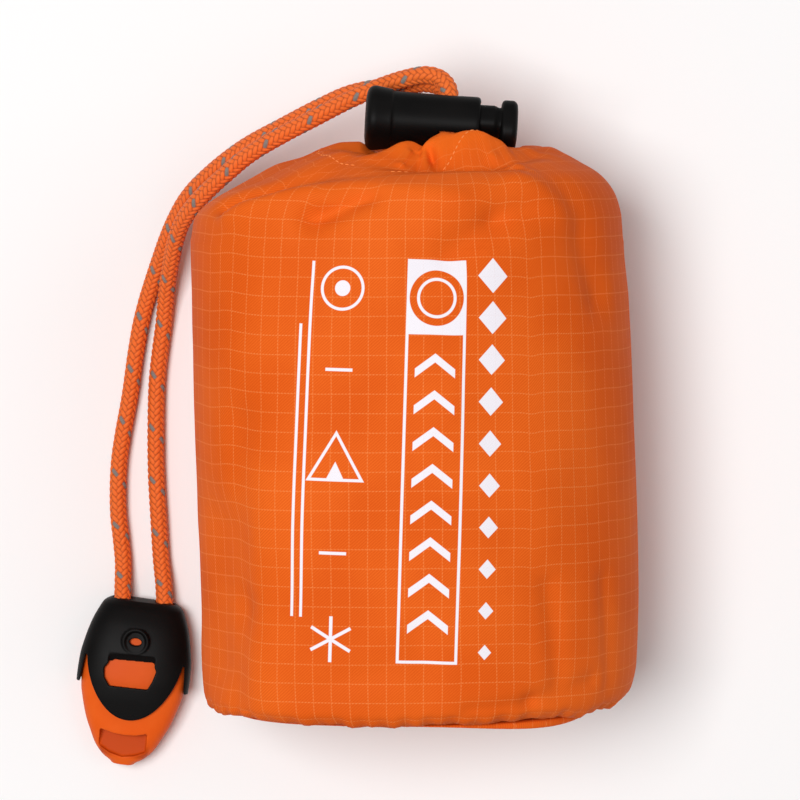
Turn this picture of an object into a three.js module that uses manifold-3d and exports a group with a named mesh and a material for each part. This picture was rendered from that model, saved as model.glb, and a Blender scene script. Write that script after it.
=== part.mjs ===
// Folded emergency sleeping bag packed in its drawstring sack, with cord lock and whistle.
// Millimetres. The sack lies on its back: +X across it, +Y along it to the gathered neck, +Z up.
import * as THREE from 'three';
import { mergeVertices } from 'three/addons/utils/BufferGeometryUtils.js';
import Module from 'manifold-3d';

const wasm = await Module();
wasm.setup();

// Driving dimensions
const gap = 0.3;
const sackMesh = { around: 76, baseShares: [0.35, 0.7, 0.94], baseRows: 4, wallRings: 15, capSteps: 2 };
const sackMiddle = 34.5;
const underCut = 1.5;
const neck = { x: 6.5, z: 50 };
const panel = { thickness: 1.2, edgeReach: 0.955, flare: 0.012, swell: 0.5, rings: 4, lowest: 1.2 };
const pucker = { count: 17, depth: 0.12, from: 0.9 };
const cord = { diameter: 3.5, sides: 8, steps: 39 };
const lock = { x: 1.1, y: 59.6, z: 49, turn: -3.5, roll: 25, length: 22.5, wide: 11.4, high: 9.4 };
const lockEndWall = 4.2;
const lockHole = { at: 5.1, along: 4.1, across: 7.9 };
const plunger = { travel: 3.7, wide: 9.4, high: 5.9, reachIn: 10.2, headLength: 3.4, head: 9.0 };
const whistle = { x: -59.2, y: -57.3, turn: -7.8 };

const colours = {
  cloth: { color: 0xe65f1e, roughness: 0.62, metalness: 0 },
  base: { color: 0xd9561a, roughness: 0.66, metalness: 0 },
  cord: { color: 0xe8601c, roughness: 0.8, metalness: 0 },
  black: { color: 0x161517, roughness: 0.5, metalness: 0 },
  orange: { color: 0xf0642a, roughness: 0.38, metalness: 0 },
};

// Wall of the sack from the base to the shoulder: the photo's side lines and the height of the front.
const wall = [
  { y: -56.2, left: -40.6, right: 40.2, front: 75.0 },
  { y: -55.4, left: -41.9, right: 42.2, front: 76.8 },
  { y: -53.2, left: -42.6, right: 43.6, front: 77.8 },
  { y: -48.6, left: -42.9, right: 44.5, front: 78.3 },
  { y: -36.2, left: -43.1, right: 44.8, front: 78.2 },
  { y: -16.2, left: -43.8, right: 44.2, front: 78.4 },
  { y: 3.8, left: -44.3, right: 43.4, front: 78.0 },
  { y: 23.8, left: -44.7, right: 42.2, front: 77.2 },
  { y: 35.0, left: -44.7, right: 41.2, front: 76.4 },
];

// Corner sharpness of each quarter of the section, 2 being round.
const corner = { frontRight: 2.06, frontLeft: 3.3, backLeft: 2.7, backRight: 2.4 };

// From the wall over the shoulder to the gathered mouth. reach is the distance from the neck as a share
// of the wall's. The columns give y in eight directions, from the right side by way of the front.
const shoulder = [
  { reach: 1.0, right: 35.6, rf: 35.6, front: 35.2, lf: 35.6, left: 36.4, lb: 36.0, back: 36.0, rb: 36.0 },
  { reach: 0.985, right: 41.0, rf: 41.4, front: 40.8, lf: 40.8, left: 40.2, lb: 40.6, back: 41.0, rb: 41.2 },
  { reach: 0.94, right: 45.6, rf: 45.9, front: 45.2, lf: 44.0, left: 42.9, lb: 44.0, back: 45.0, rb: 45.6 },
  { reach: 0.86, right: 49.0, rf: 48.8, front: 47.9, lf: 46.2, left: 45.8, lb: 47.0, back: 48.0, rb: 48.8 },
  { reach: 0.75, right: 51.3, rf: 50.3, front: 49.4, lf: 48.0, left: 48.6, lb: 49.6, back: 50.0, rb: 51.0 },
  { reach: 0.66, right: 53.0, rf: 51.2, front: 49.6, lf: 50.4, left: 50.6, lb: 51.2, back: 51.2, rb: 52.4 },
  { reach: 0.57, right: 54.2, rf: 51.0, front: 48.9, lf: 52.6, left: 51.8, lb: 52.2, back: 52.0, rb: 53.4 },
  { reach: 0.49, right: 54.2, rf: 53.0, front: 50.4, lf: 53.9, left: 53.6, lb: 53.4, back: 52.2, rb: 53.7 },
  { reach: 0.41, right: 52.4, rf: 55.2, front: 54.2, lf: 53.5, left: 54.8, lb: 54.2, back: 52.2, rb: 53.2 },
  { reach: 0.35, right: 52.0, rf: 53.6, front: 56.6, lf: 53.1, left: 54.9, lb: 55.0, back: 52.0, rb: 52.6 },
  { reach: 0.3, right: 52.0, rf: 52.9, front: 57.2, lf: 52.7, left: 53.2, lb: 54.8, back: 51.7, rb: 52.2 },
  { reach: 0.235, right: 51.6, rf: 52.0, front: 55.0, lf: 52.4, left: 52.4, lb: 53.6, back: 51.4, rb: 51.8 },
  { reach: 0.15, right: 51.0, rf: 51.2, front: 51.4, lf: 51.6, left: 51.6, lb: 51.2, back: 50.8, rb: 50.8 },
  { reach: 0.07, right: 49.4, rf: 49.6, front: 49.8, lf: 49.8, left: 49.8, lb: 49.6, back: 49.4, rb: 49.4 },
];
const directions = ['right', 'rf', 'front', 'lf', 'left', 'lb', 'back', 'rb'];
const mouthFloor = 49.0;
const baseFace = -56.3;

// Pleats that run into the neck: middle angle, spread in degrees, height, and where along the shoulder.
const pleatFade = { before: 0.08, rise: 0.12, fall: 0.25 };
const pleats = [
  { angle: 8, spread: 7, height: -0.9, from: 0.3, to: 0.8 },
  { angle: 24, spread: 6, height: 0.6, from: 0.46, to: 0.8 },
  { angle: 40, spread: 5, height: -0.9, from: 0.32, to: 0.6 },
  { angle: 63, spread: 14, height: 3.0, from: 0.33, to: 0.6 },
  { angle: 96, spread: 9, height: -0.7, from: 0.3, to: 0.5 },
  { angle: 106, spread: 5, height: -1.4, from: 0.3, to: 0.6 },
  { angle: 116, spread: 5, height: 0.8, from: 0.3, to: 0.6 },
  { angle: 128, spread: 6, height: -1.0, from: 0.32, to: 0.8 },
  { angle: 160, spread: 6, height: -1.1, from: 0.35, to: 0.95 },
  { angle: 176, spread: 6, height: 0.7, from: 0.3, to: 0.9 },
  { angle: 196, spread: 7, height: -1.0, from: 0.3, to: 0.8 },
  { angle: 222, spread: 7, height: 0.8, from: 0.3, to: 0.85 },
  { angle: 246, spread: 8, height: -1.0, from: 0.3, to: 0.8 },
  { angle: 276, spread: 8, height: 0.7, from: 0.3, to: 0.8 },
  { angle: 304, spread: 8, height: -1.0, from: 0.3, to: 0.85 },
  { angle: 334, spread: 7, height: 0.8, from: 0.3, to: 0.8 },
];

// Folds and dents: a line on the surface, how wide it reaches and how far it lifts the cloth.
const foldsAbove = 20;
const folds = [
  { from: [-14, 49, 68], to: [-12, 40, 77], width: 3.8, lift: -1.1 },
  { from: [-22, 47, 68], to: [-18, 41, 77], width: 3.0, lift: 0.9 },
  { from: [-36, 41, 73], to: [-20, 47, 69], width: 2.6, lift: -1.1 },
  { from: [-28, 42, 75], to: [-16, 48, 69], width: 2.4, lift: 0.7 },
  { from: [5, 33, 78], to: [24, 42, 71], width: 3.4, lift: -0.9 },
  { from: [20, 46, 70], to: [31, 38, 66], width: 3.6, lift: 0.8 },
  { from: [-36, -12, 71], to: [-33, 22, 73], width: 5.0, lift: -0.6 },
  { from: [-40, -40, 64], to: [-37, -20, 70], width: 5.0, lift: -0.8 },
  { from: [-30, -50, 74], to: [-24, -40, 77], width: 4.0, lift: -0.6 },
  { from: [16, -52, 74], to: [30, -47, 69], width: 3.0, lift: -0.9 },
];

// Cord strands from the neck through the lock to the whistle, centre line.
const frontRoute = [
  [5.8, 53.6, 53.6], [6.1, 57.1, 52.0], [6.3, 60.7, 50.3], [6.5, 63.6, 48.9], [6.1, 66.1, 47.6],
  [4.6, 67.9, 46.0], [1.9, 68.6, 44.8], [-2.3, 67.9, 42.8], [-7.3, 66.3, 40.6], [-12.9, 64.0, 38.4],
  [-20.8, 60.0, 35.0], [-27.0, 56.8, 32.0], [-33.5, 53.0, 28.4], [-38.0, 49.4, 25.2], [-42.1, 45.8, 22.0],
  [-45.7, 42.1, 18.6], [-48.0, 38.8, 15.4], [-49.5, 35.2, 12.2], [-50.6, 30.9, 8.9], [-51.5, 26.7, 6.0],
  [-52.1, 22.4, 3.6], [-52.6, 17.8, 2.3], [-53.4, 11.9, 1.9], [-54.1, 5.6, 1.9], [-54.4, -2.8, 1.9],
  [-54.4, -13.3, 1.9], [-53.9, -23.8, 1.9], [-53.4, -32.3, 2.0], [-52.9, -36.8, 2.9], [-52.7, -39.6, 3.8],
];
const backRoute = [
  [5.7, 52.0, 50.2], [5.9, 55.5, 48.5], [6.2, 59.1, 46.9], [6.4, 62.0, 45.5], [6.0, 64.5, 44.1],
  [4.5, 66.3, 42.5], [1.8, 67.0, 41.1], [-2.3, 66.5, 38.8], [-7.3, 66.2, 36.5], [-13.3, 65.0, 34.2],
  [-19.3, 62.4, 31.6], [-27.5, 58.2, 27.8], [-33.9, 54.8, 24.3], [-38.6, 51.6, 21.0], [-42.4, 48.5, 17.9],
  [-45.4, 45.7, 15.0], [-47.8, 42.7, 12.4], [-49.8, 39.2, 10.0], [-51.7, 35.0, 7.4], [-53.3, 30.8, 4.8],
  [-54.8, 26.6, 2.9], [-56.3, 21.9, 1.9], [-57.5, 17.1, 1.9], [-58.6, 10.8, 1.9], [-59.8, 2.4, 1.9],
  [-61.4, -6.4, 1.9], [-62.2, -12.3, 1.9], [-62.4, -21.7, 1.9], [-61.8, -28.1, 1.9], [-61.4, -32.7, 2.0],
  [-61.4, -36.2, 2.9], [-61.4, -38.6, 3.8],
];

// Whistle, along its own axis from the cord end: half width of the cap and the body, and top height.
const whistleLength = [
  { v: -16.9, cap: 6.8, body: 5.4, top: 7.4 },
  { v: -16.2, cap: 8.1, body: 6.6, top: 8.2 },
  { v: -14.6, cap: 9.0, body: 7.7, top: 9.2 },
  { v: -11.6, cap: 10.2, body: 9.0, top: 10.4 },
  { v: -8.0, cap: 11.1, body: 10.0, top: 11.2 },
  { v: -4.2, cap: 11.7, body: 10.7, top: 11.6 },
  { v: -1.0, cap: 11.8, body: 10.9, top: 11.7 },
  { v: 1.9, cap: 11.7, body: 10.7, top: 11.5 },
  { v: 5.0, cap: 11.1, body: 10.0, top: 11.1 },
  { v: 8.8, cap: 9.9, body: 8.8, top: 10.5 },
  { v: 11.4, cap: 8.7, body: 7.6, top: 10.0 },
  { v: 14.0, cap: 7.4, body: 6.3, top: 9.4 },
  { v: 16.2, cap: 5.5, body: 4.4, top: 8.8 },
  { v: 17.7, cap: 3.4, body: 2.4, top: 8.0 },
];
const whistleSection = { around: 28, squareness: 2.9, cordEnd: 0.35, farEnd: 0.25 };
const whistleBody = { firstRow: 3, rise: 1.2 };
const tongue = { root: -5.2, tip: 7.7, halfWidth: 10.0, fullness: 1.31, steps: 16 };
const notch = { top: 0.4, bottom: 0.9 };
const sideWall = { end: 1.0, outside: 14, low: -5, depth: 30 };
const windowCut = { v: -1.7, along: 4.8, across: 9.6, floor: 6.0 };
const mouthSlot = { v: 12.3, along: 4.2, across: 9.4, floor: 5.2 };
const eyelet = { v: -8.9, z: 11.0, radius: 2.6, tube: 0.55, hole: 0.9, holeMiddle: 8, holeLength: 12 };
const cordSocket = { radius: 2.05, depth: 2.6, lead: 1.2 };
const clear = 20;

const lerp = THREE.MathUtils.lerp;
const radians = THREE.MathUtils.degToRad;

function smooth(edge0, edge1, value) {
  return THREE.MathUtils.smoothstep(value, edge0, edge1);
}

// Value of a table's column at a place between its rows, on a smooth curve through them.
function along(rows, key, at, column) {
  const last = rows.length - 1;
  const rising = rows[last][key] > rows[0][key];
  let i = 0;
  while (i < last - 1 && (rising ? rows[i + 1][key] < at : rows[i + 1][key] > at)) i += 1;
  const span = rows[i + 1][key] - rows[i][key];
  const t = THREE.MathUtils.clamp((at - rows[i][key]) / span, 0, 1);
  const slope = (k) => {
    if (k === 0 || k === last) return 0;
    const ahead = (rows[k + 1][column] - rows[k][column]) / (rows[k + 1][key] - rows[k][key]);
    const behind = (rows[k][column] - rows[k - 1][column]) / (rows[k][key] - rows[k - 1][key]);
    return ahead * behind <= 0 ? 0 : (2 * ahead * behind) / (ahead + behind);
  };
  const [a, b] = [rows[i][column], rows[i + 1][column]];
  const [ma, mb] = [slope(i) * span, slope(i + 1) * span];
  return a + ma * t + (3 * (b - a) - 2 * ma - mb) * t * t + (2 * (a - b) + ma + mb) * t * t * t;
}

// Point of the sack's section in a direction from its middle; the underside is flat where it rests.
function sectionPoint(size, angle) {
  const c = Math.cos(angle);
  const s = Math.sin(angle);
  const across = c >= 0 ? size.right : -size.left;
  const height = s >= 0 ? size.front - sackMiddle : sackMiddle + underCut;
  const side = c >= 0 ? 'Right' : 'Left';
  const power = corner[(s >= 0 ? 'front' : 'back') + side];
  const radius = ((Math.abs(c) / across) ** power + (Math.abs(s) / height) ** power) ** (-1 / power);
  return { x: radius * c, z: Math.max(0, sackMiddle + radius * s) };
}

function wallSize(y) {
  const size = {};
  for (const side of ['left', 'right', 'front']) size[side] = along(wall, 'y', y, side);
  return size;
}

// Height of the shoulder at a reach and an angle, smooth from one column to the next.
function shoulderHeight(reach, angle) {
  const turn = ((angle / (2 * Math.PI)) * directions.length + directions.length) % directions.length;
  const i = Math.floor(turn);
  const t = turn - i;
  const column = (k) => directions[(i + k + directions.length) % directions.length];
  const at = (k) => along(shoulder, 'reach', reach, column(k));
  const [a, b, c, d] = [at(-1), at(0), at(1), at(2)];
  const curve = (2 * a - 5 * b + 4 * c - d) * t * t + (3 * b - a - 3 * c + d) * t * t * t;
  return b + 0.5 * ((c - a) * t + curve);
}

function pleatHeight(reach, angle) {
  let height = 0;
  for (const pleat of pleats) {
    const turned = THREE.MathUtils.radToDeg(angle) - pleat.angle;
    const away = THREE.MathUtils.euclideanModulo(turned + 180, 360) - 180;
    const start = pleat.from - pleatFade.before;
    const rise = smooth(start, start + pleatFade.rise, reach);
    const fall = 1 - smooth(pleat.to - pleatFade.fall, pleat.to, reach);
    height += pleat.height * rise * fall * Math.exp(-((away / pleat.spread) ** 2));
  }
  return height;
}

// Rings of the sack from the base to the mouth.
function sackRings() {
  const rings = [];
  const angles = Array.from({ length: sackMesh.around }, (_, k) => (2 * Math.PI * k) / sackMesh.around);
  for (const share of sackMesh.baseShares) {
    rings.push(angles.map((angle) => {
      const edge = sectionPoint(wall[0], angle);
      return [edge.x * share, baseFace, sackMiddle + (edge.z - sackMiddle) * share];
    }));
  }
  const top = wall[wall.length - 1];
  const rows = wall.slice(0, sackMesh.baseRows).map((row) => row.y);
  const straightFrom = rows[rows.length - 1];
  for (let k = 1; k <= sackMesh.wallRings; k += 1) {
    rows.push(lerp(straightFrom, top.y, k / sackMesh.wallRings));
  }
  for (const y of rows) {
    const size = wallSize(y);
    rings.push(angles.map((angle) => {
      const edge = sectionPoint(size, angle);
      return [edge.x, y + (shoulderHeight(1, angle) - top.y) * smooth(0, top.y, y), edge.z];
    }));
  }
  for (let k = 1; k < shoulder.length; k += 1) {
    for (let step = 1; step <= sackMesh.capSteps; step += 1) {
      const reach = lerp(shoulder[k - 1].reach, shoulder[k].reach, step / sackMesh.capSteps);
      rings.push(angles.map((angle) => {
        const edge = sectionPoint(top, angle);
        const y = shoulderHeight(reach, angle) + pleatHeight(reach, angle);
        return [neck.x + (edge.x - neck.x) * reach, y, neck.z + (edge.z - neck.z) * reach];
      }));
    }
  }
  return rings;
}

// One closed surface over rings of equal length, with a point at each end. Faces point outwards when the
// rings turn anticlockwise as seen from their far end, or clockwise with flip.
function loft(rings, start, end, flip = false) {
  const count = rings[0].length;
  const points = [start, ...rings.flat(), end];
  const faces = [];
  const add = (a, b, c) => faces.push(...(flip ? [a, c, b] : [a, b, c]));
  for (let k = 0; k < count; k += 1) {
    const next = (k + 1) % count;
    add(0, 1 + next, 1 + k);
    for (let r = 0; r < rings.length - 1; r += 1) {
      const low = 1 + r * count;
      const high = low + count;
      add(low + k, low + next, high + next);
      add(low + k, high + next, high + k);
    }
    const top = 1 + (rings.length - 1) * count;
    add(top + k, top + next, points.length - 1);
  }
  const geometry = new THREE.BufferGeometry();
  geometry.setAttribute('position', new THREE.Float32BufferAttribute(points.flat(), 3));
  geometry.setIndex(faces);
  return geometry;
}

// Folds lift or sink the surface along its own normals, but leave the flat underside alone.
function pressFolds(geometry) {
  geometry.computeVertexNormals();
  const position = geometry.attributes.position;
  const normal = geometry.attributes.normal;
  const point = new THREE.Vector3();
  const nearest = new THREE.Vector3();
  const shift = new THREE.Vector3();
  for (let k = 0; k < position.count; k += 1) {
    point.fromBufferAttribute(position, k);
    if (point.z < foldsAbove) continue;
    let lift = 0;
    for (const fold of folds) {
      const line = new THREE.Line3(new THREE.Vector3(...fold.from), new THREE.Vector3(...fold.to));
      line.closestPointToPoint(point, true, nearest);
      lift += fold.lift * Math.exp(-((point.distanceTo(nearest) / fold.width) ** 2));
    }
    shift.fromBufferAttribute(normal, k).multiplyScalar(lift);
    point.add(shift);
    position.setXYZ(k, point.x, point.y, point.z);
  }
  return geometry;
}

function sackGeometry() {
  return pressFolds(loft(sackRings(), [0, baseFace, sackMiddle], [neck.x, mouthFloor, neck.z], true));
}

// The round end panel follows the base, a gap away, and swells a little in the middle.
function panelGeometry() {
  const near = baseFace - gap;
  const ring = (share, depth) => Array.from({ length: sackMesh.around }, (_, k) => {
    const angle = (2 * Math.PI * k) / sackMesh.around;
    const edge = sectionPoint(wall[0], angle);
    const puckered = depth > 0 && share > pucker.from;
    const out = depth + (puckered ? pucker.depth * Math.cos(pucker.count * angle) : 0);
    const z = sackMiddle + (edge.z - sackMiddle) * share;
    return [edge.x * share, near - out, Math.max(z, panel.lowest)];
  });
  const rings = [];
  for (let k = 1; k <= panel.rings; k += 1) rings.push(ring((panel.edgeReach * k) / panel.rings, 0));
  for (let k = panel.rings; k >= 1; k -= 1) {
    const share = k / panel.rings;
    const swell = panel.swell * (1 - share ** 2);
    rings.push(ring((panel.edgeReach + panel.flare) * share, panel.thickness + swell));
  }
  return loft(rings, [0, near, sackMiddle], [0, near - panel.thickness - panel.swell, sackMiddle]);
}

function solid(geometry) {
  const bare = geometry.clone();
  bare.deleteAttribute('normal');
  bare.deleteAttribute('uv');
  const merged = mergeVertices(bare, 1e-4);
  return new wasm.Manifold(new wasm.Mesh({
    numProp: 3,
    vertProperties: new Float32Array(merged.attributes.position.array),
    triVerts: new Uint32Array(merged.index.array),
  }));
}

function geometryOf(body) {
  const mesh = body.getMesh();
  const geometry = new THREE.BufferGeometry();
  geometry.setAttribute('position', new THREE.Float32BufferAttribute(mesh.vertProperties, 3));
  geometry.setIndex(new THREE.Uint32BufferAttribute(mesh.triVerts, 1));
  return geometry;
}

function cut(geometry, ...cutters) {
  let body = solid(geometry);
  for (const cutter of cutters) body = body.subtract(solid(cutter));
  return geometryOf(body);
}

function cordGeometry(route) {
  const points = route.map((point) => new THREE.Vector3(...point));
  const path = new THREE.CatmullRomCurve3(points, false, 'centripetal');
  const outline = new THREE.Shape();
  for (let k = 0; k < cord.sides; k += 1) {
    const angle = (2 * Math.PI * (k + 0.5)) / cord.sides;
    const x = (cord.diameter / 2) * Math.cos(angle);
    const y = (cord.diameter / 2) * Math.sin(angle);
    if (k === 0) outline.moveTo(x, y);
    else outline.lineTo(x, y);
  }
  return new THREE.ExtrudeGeometry(outline, { steps: cord.steps, extrudePath: path, bevelEnabled: false });
}

// A rounded bar along x: rows give x, half height and half width.
function bar(rows, power) {
  const rings = rows.map(([x, high, wide]) => Array.from({ length: lockSides }, (_, k) => {
    const angle = (2 * Math.PI * k) / lockSides;
    const c = Math.cos(angle);
    const s = Math.sin(angle);
    const radius = (Math.abs(c) ** power + Math.abs(s) ** power) ** (-1 / power);
    return [x, high * radius * c, wide * radius * s];
  }));
  return loft(rings, [rows[0][0], 0, 0], [rows[rows.length - 1][0], 0, 0]);
}

function block(x0, x1, y0, y1, z0, z1) {
  const geometry = new THREE.BoxGeometry(x1 - x0, y1 - y0, z1 - z0);
  return geometry.translate((x0 + x1) / 2, (y0 + y1) / 2, (z0 + z1) / 2);
}

// Cord lock. In its own frame x runs along the barrel, y along the cord's hole and z across both.
const half = lock.length / 2;
const lockSides = 28;
const squareness = { barrel: 2.5, stem: 4, plunger: 3.2 };

// Flare of the barrel: distance from its closed end, height and width as shares of the lock's.
const barrelFlare = [
  { from: 0, high: 0.76, wide: 0.78 },
  { from: 0.5, high: 1.04, wide: 1.04 },
  { from: 1.6, high: 1.2, wide: 1.18 },
  { from: 3.0, high: 1.18, wide: 1.16 },
  { from: 5.0, high: 1.1, wide: 1.1 },
  { from: 8.0, high: 1.04, wide: 1.04 },
  { from: 12.0, high: 1.01, wide: 1.01 },
  { from: 17.0, high: 1.0, wide: 1.0 },
  { from: lock.length - 0.7, high: 1.0, wide: 1.0 },
  { from: lock.length - 0.1, high: 0.95, wide: 0.96 },
  { from: lock.length, high: 0.9, wide: 0.92 },
];

// Plunger from the head's inner face, stem first: place, height and width in shares of stem or head.
const stem = [
  { from: -1.2, high: 1.0, wide: 1.0 },
  { from: -0.4, high: 1.0, wide: 0.9 },
  { from: 0, high: 0.98, wide: 0.86 },
];
const head = [
  { from: 0.1, high: 0.86, wide: 0.9 },
  { from: 0.8, high: 1.0, wide: 1.0 },
  { from: plunger.headLength - 1.0, high: 1.0, wide: 1.0 },
  { from: plunger.headLength - 0.3, high: 0.88, wide: 0.88 },
  { from: plunger.headLength, high: 0.62, wide: 0.62 },
];

// The cord's hole through the lock, lengthened where a piece slides past the cord.
function cordSlot(extra) {
  const x0 = lockHole.at - lockHole.along / 2;
  const side = lockHole.across / 2;
  return block(x0, x0 + lockHole.along + extra, -lock.high, lock.high, -side, side);
}

function barrelGeometry() {
  const inner = plunger.wide / 2 + gap;
  const innerHigh = plunger.high / 2 + gap;
  const [from, to] = [lockEndWall - half, half + 1];
  const cavity = bar([[from, innerHigh, inner], [to, innerHigh, inner]], squareness.stem);
  const [high, wide] = [lock.high / 2, lock.wide / 2];
  const rows = barrelFlare.map((row) => [row.from - half, high * row.high, wide * row.wide]);
  return cut(bar(rows, squareness.barrel), cavity, cordSlot(0));
}

function plungerGeometry() {
  const [high, wide] = [plunger.high / 2, plunger.wide / 2];
  const headStart = half + plunger.travel + gap;
  const headHalf = plunger.head / 2;
  const rows = [[half - plunger.reachIn, high, wide]];
  for (const row of stem) rows.push([headStart + row.from, high * row.high, wide * row.wide]);
  for (const row of head) rows.push([headStart + row.from, headHalf * row.high, headHalf * row.wide]);
  return cut(bar(rows, squareness.plunger), cordSlot(plunger.travel));
}

// Whistle. In its own frame x runs across, y towards the cords and z up, with y = -v of the table.
function whistleRings(column, grow, lift, rise) {
  return whistleLength.map((row) => {
    const wide = row[column] + grow;
    const high = (row.top + rise - lift) / 2;
    return Array.from({ length: whistleSection.around }, (_, k) => {
      const angle = (2 * Math.PI * (k + 0.5)) / whistleSection.around;
      const c = Math.cos(angle);
      const s = Math.sin(angle);
      const power = whistleSection.squareness;
      const radius = (Math.abs(c) ** power + Math.abs(s) ** power) ** (-1 / power);
      return [wide * radius * c, -row.v, lift + high + high * radius * s];
    });
  });
}

function closed(rings) {
  const middle = (ring, push) => [0, ring[0][1] + push, ring[0][2]];
  return loft(rings, middle(rings[0], whistleSection.cordEnd), middle(rings.at(-1), -whistleSection.farEnd));
}

function cordSockets() {
  const place = new THREE.Vector3(whistle.x, whistle.y, 0);
  const up = new THREE.Vector3(0, 0, 1);
  const toLocal = (point) => point.sub(place).applyAxisAngle(up, -radians(whistle.turn));
  return [frontRoute, backRoute].map((route) => {
    const tip = new THREE.Vector3(...route[route.length - 1]);
    const before = new THREE.Vector3(...route[route.length - 2]);
    const way = tip.clone().sub(before).normalize();
    const start = tip.clone().addScaledVector(way, -cordSocket.lead);
    const end = tip.clone().addScaledVector(way, cordSocket.depth - cordSocket.lead + gap);
    const line = new THREE.LineCurve3(toLocal(start), toLocal(end));
    const circle = new THREE.Shape().absarc(0, 0, cordSocket.radius, 0, 2 * Math.PI);
    const options = { steps: 1, extrudePath: line, bevelEnabled: false, curveSegments: 8 };
    return new THREE.ExtrudeGeometry(circle, options);
  });
}

// Upright rectangular cutter over the whistle's middle line.
function recess({ v, along: length, across, floor }) {
  return block(-across / 2, across / 2, -v - length / 2, -v + length / 2, floor, clear);
}

function whistleBodyGeometry() {
  const rings = whistleRings('body', 0, 0, -whistleBody.rise).slice(whistleBody.firstRow);
  return cut(closed(rings), recess(mouthSlot));
}

function whistleCapGeometry() {
  const outer = closed(whistleRings('cap', 0, 0, 0));
  const grown = whistleRings('body', gap, -1, gap - whistleBody.rise).slice(whistleBody.firstRow);
  grown.unshift(grown[0].map(([x, y, z]) => [x, y + 2 * gap, z]));
  const hole = new THREE.CylinderGeometry(eyelet.hole, eyelet.hole, eyelet.holeLength, 16);
  hole.rotateX(Math.PI / 2).translate(0, -eyelet.v, eyelet.holeMiddle);
  let cap = solid(outer).subtract(solid(closed(grown)));
  cap = cap.subtract(solid(recess(windowCut))).subtract(solid(hole));
  for (const socket of cordSockets()) cap = cap.subtract(solid(socket));
  cap = cap.intersect(solid(capExtent()));
  const ring = new THREE.TorusGeometry(eyelet.radius, eyelet.tube, 8, 20);
  ring.translate(0, -eyelet.v, eyelet.z);
  return geometryOf(cap.add(solid(ring)));
}

// What the cap covers: all of the cord end, the sides to their ends, and the round tongue on top.
function capExtent() {
  const shape = new THREE.Shape();
  shape.moveTo(-sideWall.outside, clear);
  shape.lineTo(-sideWall.outside, -sideWall.end);
  shape.lineTo(-tongue.halfWidth - notch.bottom, -sideWall.end);
  shape.lineTo(-tongue.halfWidth - notch.top, -tongue.root - notch.top);
  for (let k = 0; k <= tongue.steps; k += 1) {
    const angle = Math.PI + (Math.PI * k) / tongue.steps;
    const reach = Math.abs(Math.sin(angle)) ** tongue.fullness;
    shape.lineTo(tongue.halfWidth * Math.cos(angle), -lerp(tongue.root, tongue.tip, reach));
  }
  shape.lineTo(tongue.halfWidth + notch.top, -tongue.root - notch.top);
  shape.lineTo(tongue.halfWidth + notch.bottom, -sideWall.end);
  shape.lineTo(sideWall.outside, -sideWall.end);
  shape.lineTo(sideWall.outside, clear);
  shape.closePath();
  const extent = new THREE.ExtrudeGeometry(shape, { depth: sideWall.depth, bevelEnabled: false });
  return extent.translate(0, 0, sideWall.low);
}

function piece(name, geometry, finish) {
  const mesh = new THREE.Mesh(geometry, new THREE.MeshStandardMaterial(finish));
  mesh.name = name;
  return mesh;
}

const group = new THREE.Group();
group.add(piece('sack', sackGeometry(), colours.cloth));
group.add(piece('base_panel', panelGeometry(), colours.base));
group.add(piece('cord_front', cordGeometry(frontRoute), colours.cord));
group.add(piece('cord_back', cordGeometry(backRoute), colours.cord));

const lockGroup = new THREE.Group();
lockGroup.position.set(lock.x, lock.y, lock.z);
lockGroup.rotation.set(-radians(lock.roll), 0, radians(lock.turn), 'ZYX');
lockGroup.add(piece('lock_barrel', barrelGeometry(), colours.black));
lockGroup.add(piece('lock_plunger', plungerGeometry(), colours.black));
group.add(lockGroup);

const whistleGroup = new THREE.Group();
whistleGroup.position.set(whistle.x, whistle.y, 0);
whistleGroup.rotation.z = radians(whistle.turn);
whistleGroup.add(piece('whistle_body', whistleBodyGeometry(), colours.orange));
whistleGroup.add(piece('whistle_cap', whistleCapGeometry(), colours.black));
group.add(whistleGroup);

export default group;
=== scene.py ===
import math
import bpy
import numpy as np
from mathutils import Matrix, Vector
from numpy.linalg import norm


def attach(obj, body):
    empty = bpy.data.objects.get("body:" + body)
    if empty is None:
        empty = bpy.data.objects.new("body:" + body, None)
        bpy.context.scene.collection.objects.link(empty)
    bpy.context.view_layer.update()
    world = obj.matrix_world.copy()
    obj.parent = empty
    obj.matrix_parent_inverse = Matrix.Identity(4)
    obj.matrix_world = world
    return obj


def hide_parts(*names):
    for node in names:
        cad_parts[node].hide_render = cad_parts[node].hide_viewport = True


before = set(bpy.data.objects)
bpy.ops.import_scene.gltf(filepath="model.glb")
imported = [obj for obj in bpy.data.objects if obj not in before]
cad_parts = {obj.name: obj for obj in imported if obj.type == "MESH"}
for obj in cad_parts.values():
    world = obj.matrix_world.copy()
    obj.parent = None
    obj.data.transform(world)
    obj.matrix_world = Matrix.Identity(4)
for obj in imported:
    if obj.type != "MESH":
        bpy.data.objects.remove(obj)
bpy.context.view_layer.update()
mm = 0.001


def addObject(name, data):
    made = bpy.data.objects.new(name, data)
    bpy.context.scene.collection.objects.link(made)
    return made


# camera: above the sack, looking down and a little towards its base
view = {"place": (-3.3, 58.2, 816.4), "tilt": -3.99, "lens": 175.5, "sensor": 36}

cameraData = bpy.data.cameras.new("overheadCamera")
cameraData.lens = view["lens"]
cameraData.sensor_width = view["sensor"]
cameraData.clip_start = 0.01
camera = addObject("overheadCamera", cameraData)
camera.location = Vector(view["place"]) * mm
camera.rotation_euler = (math.radians(view["tilt"]), 0, 0)
bpy.context.scene.camera = camera
print("camera ready")


# Node trees are written as arithmetic on signals. A signal is one output of one node.
def mathStep(operation):
    def applied(self, *others):
        return self.desk.node("ShaderNodeMath", [self, *others], {"operation": operation})
    return applied


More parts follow.
